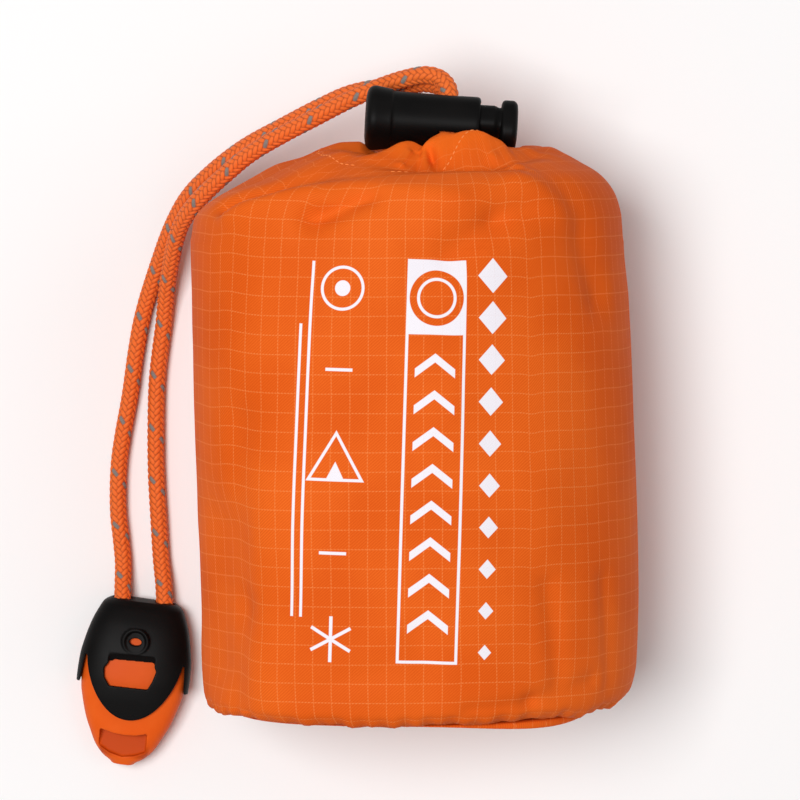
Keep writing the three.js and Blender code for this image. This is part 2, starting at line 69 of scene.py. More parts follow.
class Signal:
    def __init__(self, desk, socket):
        self.desk = desk
        self.socket = socket

    __add__ = mathStep("ADD")
    __sub__ = mathStep("SUBTRACT")
    __mul__ = mathStep("MULTIPLY")
    __mod__ = mathStep("FLOORED_MODULO")
    __lt__ = mathStep("LESS_THAN")
    __abs__ = mathStep("ABSOLUTE")
    floor = mathStep("FLOOR")
    sine = mathStep("SINE")
    root = mathStep("SQRT")
    most = mathStep("MAXIMUM")
    least = mathStep("MINIMUM")

    def __rsub__(self, other):
        return self.desk.node("ShaderNodeMath", [other, self], {"operation": "SUBTRACT"})

    def other(self, output):
        return Signal(self.desk, self.socket.node.outputs[output])

    def wave(self, period):
        return (self * (2 * math.pi / period)).sine()

    def step(self, low, high):
        places = {"Value": self, "From Min": low, "From Max": high}
        return self.desk.node("ShaderNodeMapRange", places, {"interpolation_type": "SMOOTHSTEP"})


class Desk:
    def __init__(self, tree):
        self.tree = tree

    def node(self, kind, values=(), settings=None, output=0):
        made = self.tree.nodes.new(kind)
        for name, value in (settings or {}).items():
            setattr(made, name, value)
        for key, value in values.items() if isinstance(values, dict) else enumerate(values):
            if isinstance(value, Signal):
                self.tree.links.new(value.socket, made.inputs[key])
            else:
                made.inputs[key].default_value = value
        return Signal(self, made.outputs[output]) if made.outputs else None

    def objectPlace(self):
        return self.node("ShaderNodeTexCoord", output=3)

    def mapPlace(self, name):
        parts = self.node("ShaderNodeSeparateXYZ", [self.node("ShaderNodeUVMap", (), {"uv_map": name})])
        return parts, parts.other(1)

    def marked(self, name):
        return self.node("ShaderNodeAttribute", (), {"attribute_name": name}, 2)

    def noise(self, place, scale, detail):
        return self.node("ShaderNodeTexNoise", {"Vector": place, "Scale": scale, "Detail": detail})

    def tint(self, share, first, second):
        return self.node("ShaderNodeMix", {0: share, 6: first, 7: second}, {"data_type": "RGBA"}, 2)

    def bump(self, height, strength, depth):
        # depth in millimetres
        return self.node("ShaderNodeBump", {"Strength": strength, "Distance": depth * mm, "Height": height})

    def keep(self, geometry, name, value, kind="FLOAT", domain="POINT"):
        values = {"Geometry": geometry, "Name": name, "Value": value}
        return self.node("GeometryNodeStoreNamedAttribute", values, {"data_type": kind, "domain": domain})

    def recall(self, name):
        return self.node("GeometryNodeInputNamedAttribute", {"Name": name}, {"data_type": "FLOAT"})

    def dress(self, geometry, finish):
        # the last steps of a geometry tree, before its output
        geometry = self.node("GeometryNodeRealizeInstances", [geometry])
        geometry = self.node("GeometryNodeSetMaterial", {"Geometry": geometry, "Material": finish})
        self.node("NodeGroupOutput", [geometry])


def paint(code):
    # linear colour of a six-digit screen colour
    parts = [int(code[k:k + 2], 16) / 255 for k in (0, 2, 4)]
    return (*[((c + 0.055) / 1.055) ** 2.4 if c > 0.04045 else c / 12.92 for c in parts], 1.0)


def newFinish(name):
    material = bpy.data.materials.new(name)
    material.use_nodes = True
    material.node_tree.nodes.clear()
    return material, Desk(material.node_tree)


def coat(desk, values):
    # closes a finish: values are the sockets of its one principled shader
    shader = desk.node("ShaderNodeBsdfPrincipled", values)
    desk.node("ShaderNodeOutputMaterial", {"Surface": shader})


def newPiece(name, points, faces, finish, corners=None):
    # points in millimetres; faces are quads, or quads and triangles; corners are the quads' places on
    # the cloth map, in metres
    groups = faces if isinstance(faces, tuple) else (faces,)
    groups = [np.asarray(group, np.int32) for group in groups]
    points = np.asarray(points, float) * mm
    mesh = bpy.data.meshes.new(name)
    mesh.vertices.add(len(points))
    mesh.vertices.foreach_set("co", points.ravel())
    total = np.concatenate([np.full(len(group), group.shape[1], np.int32) for group in groups])
    loops = np.concatenate([group.ravel() for group in groups])
    mesh.loops.add(len(loops))
    mesh.loops.foreach_set("vertex_index", loops)
    mesh.polygons.add(len(total))
    mesh.polygons.foreach_set("loop_start", (np.cumsum(total) - total).astype(np.int32))
    mesh.polygons.foreach_set("loop_total", total)
    mesh.update(calc_edges=True)
    if corners is not None:
        places = np.full((len(loops), 2), cloth["tipPlace"] * mm)
        places[:len(corners.reshape(-1, 2))] = corners.reshape(-1, 2)
        mesh.uv_layers.new(name="clothMap").data.foreach_set("uv", places.ravel())
    mesh.shade_smooth()
    mesh.materials.append(finish)
    return addObject(name, mesh)


def plainMesh(piece):
    # what the modifiers make of a piece becomes its own mesh
    evaluated = piece.evaluated_get(bpy.context.evaluated_depsgraph_get())
    mesh = bpy.data.meshes.new_from_object(evaluated)
    piece.modifiers.clear()
    piece.data = mesh
    mesh.shade_smooth()
    return piece


def newTree(name, numbers):
    # a geometry tree that takes a line, numbers and a finish
    tree = bpy.data.node_groups.new(name, "GeometryNodeTree")
    kinds = {"Line": "Geometry", **numbers, "Finish": "Material"}
    inputs = {key: tree.interface.new_socket(key, in_out="INPUT", socket_type="NodeSocket" + kind)
              for key, kind in kinds.items()}
    tree.interface.new_socket("Piece", in_out="OUTPUT", socket_type="NodeSocketGeometry")
    desk = Desk(tree)
    given = desk.node("NodeGroupInput")
    return tree, inputs, desk, {s.name: Signal(desk, s) for s in given.socket.node.outputs if s.name}


def growOn(line, name, tree, inputs, values):
    # the piece that a tree makes of a line, which is given in millimetres
    mesh = bpy.data.meshes.new(name)
    mesh.from_pydata((line * mm).tolist(), [(k, k + 1) for k in range(len(line) - 1)], [])
    piece = addObject(name, mesh)
    change = piece.modifiers.new(tree.name, "NODES")
    change.node_group = tree
    for key, value in values.items():
        change[inputs[key].identifier] = value
    return plainMesh(piece)


def declare(piece, body, node=None):
    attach(piece, body)
    if node:
        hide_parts(node)
    print(piece.name, "made,", len(piece.data.polygons), "faces")


def closedLoft(rings, start, end):
    # points and faces of one closed surface over rings of equal length, with a point at each end
    rings = np.asarray(rings, float)
    count, around = rings.shape[:2]
    points = np.vstack([rings.reshape(-1, 3), [start, end]])
    k, r = np.meshgrid(np.arange(around), np.arange(count - 1))
    low, lowNext = r * around + k, r * around + (k + 1) % around
    quads = np.stack([low, lowNext, lowNext + around, low + around], axis=-1).reshape(-1, 4)
    columns, last = np.arange(around), (count - 1) * around
    following = (columns + 1) % around
    first = np.stack([np.full(around, len(points) - 2), following, columns], axis=-1)
    final = np.stack([np.full(around, len(points) - 1), last + columns, last + following], axis=-1)
    return points, quads, np.concatenate([first, final])


def turned(faces):
    # the same faces, seen from their other side
    return np.roll(faces[:, ::-1], 1, axis=1)


def smooth(low, high, value):
    t = np.clip((np.asarray(value, float) - low) / (high - low), 0, 1)
    return t * t * (3 - 2 * t)


def band(rise, fall, value):
    # 1 between two ramps, each given by where it starts and ends
    return smooth(*rise, value) * (1 - smooth(*fall, value))


def bell(away, spread):
    return np.exp(-((away / spread) ** 2))


def turnFrom(angles, degrees):
    return (np.degrees(angles) - degrees + 180) % 360 - 180


def blend(corner, s, t):
    # the mix of four neighbours, which corner gives by row and column
    near = corner(0, 0) * (1 - s) + corner(1, 0) * s
    return near * (1 - t) + (corner(0, 1) * (1 - s) + corner(1, 1) * s) * t


def fullTurn(count):
    return np.linspace(0, 2 * math.pi, count, endpoint=False)


def squareRing(count, square):
    # points round a square with rounded corners and a half width of 1
    angles = fullTurn(count)
    radius = (abs(np.cos(angles)) ** square + abs(np.sin(angles)) ** square) ** (-1 / square)
    return radius * np.cos(angles), radius * np.sin(angles)


# the two braided strands, from the gathered neck through the lock to the whistle
strands = {
    "diameter": 3.5, "yarns": 8, "lead": 11.0, "relief": 0.32, "step": 0.2, "sides": 48, "filament": 0.23,
    # the colours that follow include painted shade for the hollows between the yarns, painted sheen along the
    # yarns' filaments and painted shade between the tracer's filaments
    "intoNeck": 3.0, "intoWhistle": 2.0, "valleyShade": "8E2C08", "yarn": "EE6A22", "shine": "FF8A45",
    "tracerFilamentShade": "6E655F", "tracer": "A9A39E",
    "front": [
        (5.8, 53.6, 53.6), (6.1, 57.1, 52.0), (6.3, 60.7, 50.3), (6.5, 63.6, 48.9), (6.1, 66.1, 47.6),
        (4.6, 67.9, 46.0), (1.9, 68.6, 44.8), (-2.3, 67.9, 42.8), (-7.3, 66.3, 40.6), (-12.9, 64.0, 38.4),
        (-20.8, 60.0, 35.0), (-27.0, 56.8, 32.0), (-33.5, 53.0, 28.4), (-38.0, 49.4, 25.2),
        (-42.1, 45.8, 22.0), (-45.7, 42.1, 18.6), (-48.0, 38.8, 15.4), (-49.5, 35.2, 12.2),
        (-50.6, 30.9, 8.9), (-51.5, 26.7, 6.0), (-52.1, 22.4, 3.6), (-52.6, 17.8, 2.3), (-53.4, 11.9, 1.9),
        (-54.1, 5.6, 1.9), (-54.4, -2.8, 1.9), (-54.4, -13.3, 1.9), (-53.9, -23.8, 1.9),
        (-53.4, -32.3, 2.0), (-52.9, -36.8, 2.9), (-52.7, -39.6, 3.8),
    ],
    "back": [
        (5.7, 52.0, 50.2), (5.9, 55.5, 48.5), (6.2, 59.1, 46.9), (6.4, 62.0, 45.5), (6.0, 64.5, 44.1),
        (4.5, 66.3, 42.5), (1.8, 67.0, 41.1), (-2.3, 66.5, 38.8), (-7.3, 66.2, 36.5), (-13.3, 65.0, 34.2),
        (-19.3, 62.4, 31.6), (-27.5, 58.2, 27.8), (-33.9, 54.8, 24.3), (-38.6, 51.6, 21.0),
        (-42.4, 48.5, 17.9), (-45.4, 45.7, 15.0), (-47.8, 42.7, 12.4), (-49.8, 39.2, 10.0),
        (-51.7, 35.0, 7.4), (-53.3, 30.8, 4.8), (-54.8, 26.6, 2.9), (-56.3, 21.9, 1.9), (-57.5, 17.1, 1.9),
        (-58.6, 10.8, 1.9), (-59.8, 2.4, 1.9), (-61.4, -6.4, 1.9), (-62.2, -12.3, 1.9),
        (-62.4, -21.7, 1.9), (-61.8, -28.1, 1.9), (-61.4, -32.7, 2.0), (-61.4, -36.2, 2.9),
        (-61.4, -38.6, 3.8),
    ],
}


def strandLine(route):
    # centre line through the route's points, with a little more at both ends, at even steps
    p = np.array(route, float)
    first = p[0] + (p[0] - p[1]) / norm(p[0] - p[1]) * strands["intoNeck"]
    last = p[-1] + (p[-1] - p[-2]) / norm(p[-1] - p[-2]) * strands["intoWhistle"]
    p = np.vstack([first, p, last])
    p = np.vstack([2 * p[0] - p[1], p, 2 * p[-1] - p[-2]])
    line = []
    for k in range(len(p) - 3):  # one curve through four neighbours at a time
        parts = p[k:k + 4]
        knots = np.append(0, np.cumsum(norm(np.diff(parts, axis=0), axis=1) ** 0.5))
        t = np.linspace(knots[1], knots[2], 24, endpoint=False)[:, None]
        for spans in (((0, 1), (1, 2), (2, 3)), ((0, 2), (1, 3)), ((1, 2),)):
            parts = [((knots[j] - t) * a + (t - knots[i]) * b) / (knots[j] - knots[i])
                     for (i, j), a, b in zip(spans, parts, parts[1:])]
        line.extend(parts[0])
    line = np.array([*line, p[-2]])
    far = np.append(0, np.cumsum(norm(np.diff(line, axis=0), axis=1)))
    even = np.linspace(0, far[-1], round(far[-1] / strands["step"]))
    return np.column_stack([np.interp(even, far, line[:, k]) for k in range(3)]), far[-1]


def braid(along, around):
    # along in millimetres and around from 0 to 1; yarns of both hands float over two and under two
    s = along * (strands["yarns"] / strands["lead"])
    t = around * strands["yarns"]
    a, b = t + s, t - s
    i, j = a.floor(), b.floor()
    rightOver = ((i + j) % 4) < 1.5
    leftOver = 1 - rightOver
    across = (a - i) * rightOver + (b - j) * leftOver
    ahead = ((b + i) % 4) * rightOver * 0.5 + ((a + j - 2) % 4) * leftOver * 0.5
    dome = 1 - (across * 2 - 1) * (across * 2 - 1)
    arch = 1 - (ahead * 2 - 1) * (ahead * 2 - 1)
    height = dome.most(0.0).root() * (arch * 0.5 + 0.5)
    tracer = rightOver * ((i % strands["yarns"]) < 0.5)
    return height, tracer, across


def braidedCordFinish():
    finish, desk = newFinish("braidedCord")
    along, around = desk.mapPlace("braidMap")
    height, tracer, across = braid(along * (1 / mm), around)
    filament = across.wave(strands["filament"]) * 0.5 + 0.5
    mottle = desk.noise(desk.objectPlace(), 420.0, 3.0)
    # painted shade: the hollows between the yarns are darkened towards a deep red-brown
    yarn = desk.tint(height.step(0.15, 0.8), paint(strands["valleyShade"]), paint(strands["yarn"]))
    # painted sheen: lighter stripes along the yarns' filaments, mixed with random mottle
    yarn = desk.tint(filament * 0.22 + mottle * 0.12, yarn, paint(strands["shine"]))
    # painted shade and sheen: the grey tracer is darker between its filaments and lighter on them
    grey = desk.tint(filament * 0.6, paint(strands["tracerFilamentShade"]), paint(strands["tracer"]))
    colour = desk.tint(tracer * height.step(0.3, 0.55), yarn, grey)
    bump = desk.bump(height * 0.7 + filament * 0.3, 0.35, 0.3)
    coat(desk, {"Base Color": colour, "Roughness": height * -0.15 + 0.72, "Normal": bump,
                "Sheen Weight": 0.04, "Sheen Roughness": 0.5, "Specular IOR Level": 0.2})
    return finish


def braidTree():
    # sweeps a round section along the line and lifts each yarn out of it
    numbers = {"Radius": "Float", "Relief": "Float", "Sides": "Int"}
    tree, inputs, desk, take = newTree("braidedStrand", numbers)
    line = desk.node("GeometryNodeMeshToCurve", [take["Line"]])
    line = desk.keep(line, "alongStrand", desk.node("GeometryNodeSplineParameter", output=1))
    ring = desk.node("GeometryNodeCurvePrimitiveCircle",
                     {"Resolution": take["Sides"], "Radius": take["Radius"]}, {"mode": "RADIUS"})
    ring = desk.keep(ring, "aroundStrand", desk.node("GeometryNodeSplineParameter"))
    tube = desk.node("GeometryNodeCurveToMesh", {"Curve": line, "Profile Curve": ring, "Fill Caps": True})
    along, around = desk.recall("alongStrand"), desk.recall("aroundStrand")
    # the last faces of each ring close at 1, not at 0
    middle = desk.node("GeometryNodeFieldOnDomain", [around], {"data_type": "FLOAT", "domain": "FACE"})
    wrapped = around + ((0.3 - (middle - around)) < 0.0)
    corner = desk.node("ShaderNodeCombineXYZ", [along, wrapped])
    tube = desk.keep(tube, "braidMap", corner, "FLOAT2", "CORNER")
    lift = (braid(along * (1 / mm), around)[0] - 0.75) * take["Relief"]
    normal = desk.node("GeometryNodeInputNormal")
    offset = desk.node("ShaderNodeVectorMath", {0: normal, "Scale": lift}, {"operation": "SCALE"})
    tube = desk.node("GeometryNodeSetPosition", {"Geometry": tube, "Offset": offset})
    desk.dress(tube, take["Finish"])
    return tree, inputs


def layStrand(name, route, tree, finish):
    line, long = strandLine(route)
    strand = growOn(line, name, *tree, {
        "Radius": strands["diameter"] / 2 * mm, "Relief": strands["relief"] * mm,
        "Sides": strands["sides"], "Finish": finish})
    print(name, round(long, 1), "mm long")
    return strand, line * mm, long * mm


cordFinish = braidedCordFinish()
strandTree = braidTree()
laid = {"cord_front": layStrand("frontStrand", strands["front"], strandTree, cordFinish),
        "cord_back": layStrand("backStrand", strands["back"], strandTree, cordFinish)}


# cloth: an orange ripstop weave, its lighter grid and the white print on the front
cloth = {
    # the colour for the gathered neck is painted light, brighter than the wall's orange
    "orange": "EC6B21", "deep": "DF5D18", "hemPaintedLight": "F2701F", "gridLine": "F99B58", "white": "ECE9F0",
    "gridAcross": 3.55, "gridAlong": 3.70, "gridShift": 0.6, "lineThin": 0.05, "lineThick": 0.16,
    "twill": 0.6, "dots": 0.66, "twillShade": "C54508", "lean": 1.7,
    "tipPlace": 59.7,  # a place off the print and between the grid's lines
}

# the print in millimetres from the front's middle; a box is x, y, half width, half height
design = {
    "line": 0.28, "frame": (3.0, -3.7, 5.6, 38.3), "block": (3.0, 27.6, 5.6, 7.0),
    "disc": (3.0, 27.6, 0.0, 3.3), "halo": (3.0, 27.6, 4.6, 0.22), "haloGap": 0.5,
    "chevrons": {"box": (3.0, -10.1, 3.9, 28.1), "slope": 0.75, "shift": 1.3, "pitch": 7.0, "half": 0.85},
    "diamonds": {"box": (14.2, -4.0, 4.0, 40.0), "lean": 1.1, "shift": 44.0, "pitch": 8.0, "size": 2.5,
                 "grow": 0.026},
    "signs": -15.5, "ring": (29.0, 4.0, 1.5), "dashes": (13.5, -21.5), "dash": (2.6, 0.3),
    "tent": {"foot": -7.5, "outer": (0.87, 3.0, 0.5, 2.2), "door": (0.9, 6.0, 0.45, 0.9)},
    "star": (-38.0, 4.4, 0.32), "fineLines": [(-21.5, 0.0, 0.28, 34.0), (-23.3, -6.0, 0.28, 28.0)],
}


def boxAt(u, v, x, y, halfWide, halfHigh):
    # distance outside a rectangle, less than 0 inside
    return (abs(u - x) - halfWide).most(abs(v - y) - halfHigh)


def ringAt(u, v, x, y, radius, line):
    far = ((u - x) * (u - x) + (v - y) * (v - y)).root()
    return abs(far - radius) - line


def printShape(u, v):
    # less than 0 where the cloth is white
    line, x = design["line"], design["signs"]
    shape = abs(boxAt(u, v, *design["frame"])) - line
    disc, halo = ringAt(u, v, *design["disc"]), abs(ringAt(u, v, *design["halo"]))
    block = boxAt(u, v, *design["block"]).most(0.0 - disc).most(design["haloGap"] - halo)
    rows = design["chevrons"]
    bent = (v + abs(u - rows["box"][0]) * rows["slope"] + rows["shift"]) % rows["pitch"]
    chevrons = (abs(bent - rows["pitch"] / 2) - rows["half"]).most(boxAt(u, v, *rows["box"]))
    rows = design["diamonds"]  # they shrink towards the base
    near = abs((v + rows["shift"]) % rows["pitch"] - rows["pitch"] / 2)
    diamonds = abs(u - rows["box"][0]) * rows["lean"] + near - (v * rows["grow"] + rows["size"])
    diamonds = diamonds.most(boxAt(u, v, *rows["box"]))
    y, wide, dot = design["ring"]
    parts = [block, chevrons, diamonds, ringAt(u, v, x, y, wide, line), ringAt(u, v, x, y, 0.0, dot)]
    foot = 0.0 - (v - design["tent"]["foot"])
    outer, door = ((abs(u - x) * across + (v + up) * rise - size).most(foot)
                   for across, up, rise, size in (design["tent"]["outer"], design["tent"]["door"]))
    parts += [abs(outer) - line, door]
    y, reach, half = design["star"]
    for turn in (0, 60, 120):
        c, s = math.cos(math.radians(turn)), math.sin(math.radians(turn))
        parts.append((abs((u - x) * c + (v - y) * s) - half).most(ringAt(u, v, x, y, 0.0, reach)))
    parts += [boxAt(u, v, x, y, *design["dash"]) for y in design["dashes"]]
    parts += [boxAt(u, v, *box) for box in design["fineLines"]]
    for part in parts:
        shape = shape.least(part)
    return shape


def clothFinish(name, printed):
    finish, desk = newFinish(name)
    u, v = (part * (1 / mm) for part in desk.mapPlace("clothMap"))
    spots = desk.objectPlace()
    slow, quick = desk.noise(spots, 38.0, 2.0), desk.noise(spots, 900.0, 2.0)
    gathered = desk.marked("gathered")
    drift = (slow - 0.5) * 0.9
    across = abs((u + drift + cloth["gridShift"]) % cloth["gridAcross"] - cloth["gridAcross"] / 2)
    along = abs((v + drift * 0.6) % cloth["gridAlong"] - cloth["gridAlong"] / 2)
    columns, rows = (far.step(cloth["lineThick"], cloth["lineThin"]) * (other.wave(cloth["dots"]) * 0.4 + 0.6)
                     for far, other in ((across, v), (along, u)))
    twill = (u * 0.9 - v).wave(cloth["twill"]) * 0.5 + 0.5
    thread = (u * 1.1 + v).wave(cloth["twill"] / 2) * 0.5 + 0.5
    grid = columns.most(rows) * (1 - gathered * 0.85)
    colour = desk.tint(slow.step(0.3, 0.7), paint(cloth["deep"]), paint(cloth["orange"]))
    # painted light: the gathered neck is tinted brighter than the wall
    colour = desk.tint(gathered * 0.7, colour, paint(cloth["hemPaintedLight"]))
    colour = desk.tint(twill * 0.42 + quick * 0.1, colour, paint(cloth["twillShade"]))
    colour = desk.tint(grid * (quick * 0.4 + 0.22), colour, paint(cloth["gridLine"]))
    roughness = 0.62 - twill * 0.05 - grid * 0.06
    height = twill * 0.5 + thread * 0.2 + grid * 0.9
    if printed:
        c, s = math.cos(math.radians(cloth["lean"])), math.sin(math.radians(cloth["lean"]))
        ink = printShape(u * c - v * s, u * s + v * c).step(0.06, -0.06)
        colour = desk.tint(ink * (0.97 - grid * 0.05), colour, paint(cloth["white"]))
        roughness = roughness - ink * 0.12
        height = height * (1 - ink * 0.5) + ink * 0.5
    coat(desk, {"Base Color": colour, "Roughness": roughness, "Normal": desk.bump(height, 0.22, 0.12),
                "Specular IOR Level": 0.03})
    return finish


# the filled sack: tables of its wall and shoulder, pleats and folds
sack = {
    "around": 300, "wallStep": 0.62, "capSteps": 9, "middle": 34.5, "underCut": 1.5, "mapRing": 90,
    "neck": (6.5, 50.0), "mouthFloor": 49.0, "baseFace": -56.3, "onBase": -1.0, "onWall": 1.5,
    "baseShares": (0.04, 0.985, 26), "hemRows": (-56.2, -53.2, 12), "wallFrom": -52.8,
    "corner": {"frontRight": 2.06, "frontLeft": 3.3, "backLeft": 2.7, "backRight": 2.4},
    # y, left, right, front
    "wall": [
        (-56.2, -40.6, 40.2, 75.0), (-55.4, -41.9, 42.2, 76.8), (-53.2, -42.6, 43.6, 77.8),
        (-48.6, -42.9, 44.5, 78.3), (-36.2, -43.1, 44.8, 78.2), (-16.2, -43.8, 44.2, 78.4),
        (3.8, -44.3, 43.4, 78.0), (23.8, -44.7, 42.2, 77.2), (35.0, -44.7, 41.2, 76.4),
    ],
    # share of the way from the neck, then y at eight angles from the right over front, left and back
    "shoulder": [
        (1.0, 35.6, 35.6, 35.2, 35.6, 36.4, 36.0, 36.0, 36.0),
        (0.985, 41.0, 41.4, 40.8, 40.8, 40.2, 40.6, 41.0, 41.2),
        (0.94, 45.6, 45.9, 45.2, 44.0, 42.9, 44.0, 45.0, 45.6),
        (0.86, 49.0, 48.8, 47.9, 46.2, 45.8, 47.0, 48.0, 48.8),
        (0.75, 51.3, 50.3, 49.4, 48.0, 48.6, 49.6, 50.0, 51.0),
        (0.66, 53.0, 51.2, 49.6, 50.4, 50.6, 51.2, 51.2, 52.4),
        (0.57, 54.2, 51.0, 48.9, 52.6, 51.8, 52.2, 52.0, 53.4),
        (0.49, 54.2, 53.0, 50.4, 53.9, 53.6, 53.4, 52.2, 53.7),
        (0.41, 52.4, 55.2, 54.2, 53.5, 54.8, 54.2, 52.2, 53.2),
        (0.35, 52.0, 53.6, 56.6, 53.1, 54.9, 55.0, 52.0, 52.6),
        (0.3, 52.0, 52.9, 57.2, 52.7, 53.2, 54.8, 51.7, 52.2),
        (0.235, 51.6, 52.0, 55.0, 52.4, 52.4, 53.6, 51.4, 51.8),
        (0.15, 51.0, 51.2, 51.4, 51.6, 51.6, 51.2, 50.8, 50.8),
        (0.07, 49.4, 49.6, 49.8, 49.8, 49.8, 49.6, 49.4, 49.4),
    ],
    # angle, spread, height, from, to
    "pleats": [
        (8, 7, -0.9, 0.3, 0.8), (24, 6, 0.6, 0.46, 0.8), (40, 5, -0.9, 0.32, 0.6),
        (63, 14, 3.0, 0.33, 0.6), (96, 9, -0.7, 0.3, 0.5), (106, 5, -1.4, 0.3, 0.6),
        (116, 5, 0.8, 0.3, 0.6), (128, 6, -1.0, 0.32, 0.8), (160, 6, -1.1, 0.35, 0.95),
        (176, 6, 0.7, 0.3, 0.9), (196, 7, -1.0, 0.3, 0.8), (222, 7, 0.8, 0.3, 0.85),
        (246, 8, -1.0, 0.3, 0.8), (276, 8, 0.7, 0.3, 0.8), (304, 8, -1.0, 0.3, 0.85),
        (334, 7, 0.8, 0.3, 0.8),
    ],
    # from, to, width, lift
    "folds": [
        ((-20, 41.5, 76), (-10, 46.5, 76), 3.0, -3.3), ((-24, 48, 74), (-16, 46, 76), 2.6, 1.5),
        ((-38, 44.5, 63), (-28, 48.5, 67), 2.4, -3.8), ((-28, 48.5, 67), (-17, 52, 68), 2.4, -3.4),
        ((-38, 42, 68), (-27, 46.5, 73), 2.4, 1.6), ((-27, 46.5, 73), (-12, 50.5, 73), 2.4, 2.0),
        ((6, 34, 77), (16, 41, 75), 3.4, -1.7), ((16, 41, 75), (27, 45, 70), 3.2, -1.9),
        ((20, 48.5, 69), (31, 41, 66), 3.4, 1.5), ((31, 46, 66), (36, 26, 59), 4.4, -1.5),
        ((-12, 48.5, 74), (8, 45.5, 75), 2.2, 0.6), ((-2, 40, 77.5), (2, 30, 78), 3.0, -0.6),
        ((-34, 2, 71), (-35, -34, 70), 4.2, -1.0), ((-35, -34, 71), (-36, -52, 69), 4.0, -1.2),
        ((25, -30, 70), (27, -48, 69), 2.4, -0.9),
        ((36, -30, 60), (37, -50, 58), 2.6, -0.7), ((2, -49, 77), (0, -38, 77.5), 2.6, -0.45),
        ((10, -53, 76), (22, -52, 72), 1.6, -0.8), ((22, -52, 72), (34, -49, 63), 2.2, -0.9),
        ((-24, -50, 76), (-8, -46, 78), 3.0, -0.5), ((12, 10, 77), (18, -18, 76), 5.0, -0.35),
        ((-40, -20, 66), (-41, -45, 64), 7.5, -2.8), ((2.4, 53.8, 60), (4.0, 50.2, 65), 1.0, -2.2),
        ((-1.6, 53.2, 60), (-3.2, 51.0, 63), 0.8, 0.8), ((0.4, 53.4, 60), (0.0, 50.6, 64), 0.9, -0.9),
        ((9, 49.6, 66), (21, 51.5, 64), 1.3, -0.7), ((15, 53, 60), (22, 50, 64), 1.2, 0.5),
    ],
    # uneven tucks of the drawn-in cloth: least and most of spread, height, end and bend, the steps
    # between them, and how much calmer they are round one angle
    "tucks": {"seed": 12, "least": (2.4, -1.0, 0.42, -26), "most": (6.5, 0.6, 0.85, 26), "step": (7, 15),
              "calm": (0.75, 66, 26)},
    # size, seed and height of the swells and of the base seam's sag
    "swells": [(17, 3, 0.30), (6.5, 5, 0.07)], "sag": [(7, 14, 0.5), (2.6, 15, 0.25)], "sagSpread": 3.0,
    # the base seam: height, place and spread of its roll and groove, and its puckers
    "roll": [(0.28, 0.6, 0.5), (-0.22, 2.2, 0.8)],
    "pucker": {"high": 0.3, "at": 1.2, "spread": 1.8, "pitch": 4.6, "drift": (12, 9)}, "noiseShift": 200,
}


def curveThrough(rows, at):
    # smooth values of every column of a table at places of its first column, which rises
    rows = np.array(rows, float)
    if rows[0, 0] > rows[-1, 0]:
        rows = rows[::-1]
    x, y = rows[:, 0], rows[:, 1:]
    slopes = np.diff(y, axis=0) / np.diff(x)[:, None]
    turn = np.zeros_like(y)
    same = slopes[1:] * slopes[:-1] > 0
    total = slopes[1:] + slopes[:-1]
    turn[1:-1] = np.where(same, 2 * slopes[1:] * slopes[:-1] / np.where(same, total, 1), 0)
    at = np.clip(np.asarray(at, float), x[0], x[-1])
    i = np.clip(np.searchsorted(x, at, side="right") - 1, 0, len(x) - 2)
    span = (x[i + 1] - x[i])[:, None]
    t = ((at - x[i]) / (x[i + 1] - x[i]))[:, None]
    a, b, ma, mb = y[i], y[i + 1], turn[i] * span, turn[i + 1] * span
    return a + ma * t + (3 * (b - a) - 2 * ma - mb) * t ** 2 + (2 * (a - b) + ma + mb) * t ** 3


def sectionPoints(left, right, front, angles):
    c, s = np.cos(angles), np.sin(angles)
    wide = np.where(c >= 0, right, -left)
    high = np.where(s >= 0, front - sack["middle"], sack["middle"] + sack["underCut"])
    corner = sack["corner"]
    power = np.where(s >= 0, np.where(c >= 0, corner["frontRight"], corner["frontLeft"]),
                     np.where(c >= 0, corner["backRight"], corner["backLeft"]))
    radius = ((abs(c) / wide) ** power + (abs(s) / high) ** power) ** (-1 / power)
    return radius * c, np.maximum(0, sack["middle"] + radius * s)


def shoulderHeight(reach, angles):
    eight = curveThrough(sack["shoulder"], [reach])[0]
    turn = (angles / (2 * math.pi) * 8) % 8
    i = np.floor(turn).astype(int)
    t = turn - i
    a, b, c, d = (eight[(i + k) % 8] for k in (-1, 0, 1, 2))
    bend = (2 * a - 5 * b + 4 * c - d) * t ** 2 + (3 * b - a - 3 * c + d) * t ** 3
    return b + 0.5 * ((c - a) * t + bend)


def pleatHeight(reach, angles):
    height = np.zeros_like(angles)
    for angle, spread, lift, start, end in sack["pleats"]:
        fade = band((start - 0.08, start + 0.04), (end - 0.25, end), reach)
        height += lift * fade * bell(turnFrom(angles, angle), spread)
    return height


def gathers(angles, reaches):
    # the tucks start at the neck and fade over the shoulder
    tucks = sack["tucks"]
    share, middle, wide = tucks["calm"]
    draw = np.random.default_rng(tucks["seed"])
    reach = reaches[:, None]
    total = np.zeros((len(reaches), len(angles)))
    at = 0.0
    while at < 360:
        spread, high, far, bend = draw.uniform(tucks["least"], tucks["most"])
        calm = 1 - share * bell(at - middle, wide)
        away = turnFrom(angles[None, :], at + bend * (reach - 0.3))
        total += calm * high * bell(away, spread) * (1 - smooth(far * 0.5, far, reach))
        at += draw.uniform(*tucks["step"])
    return total * smooth(0.08, 0.25, reach) * (reach > 0)


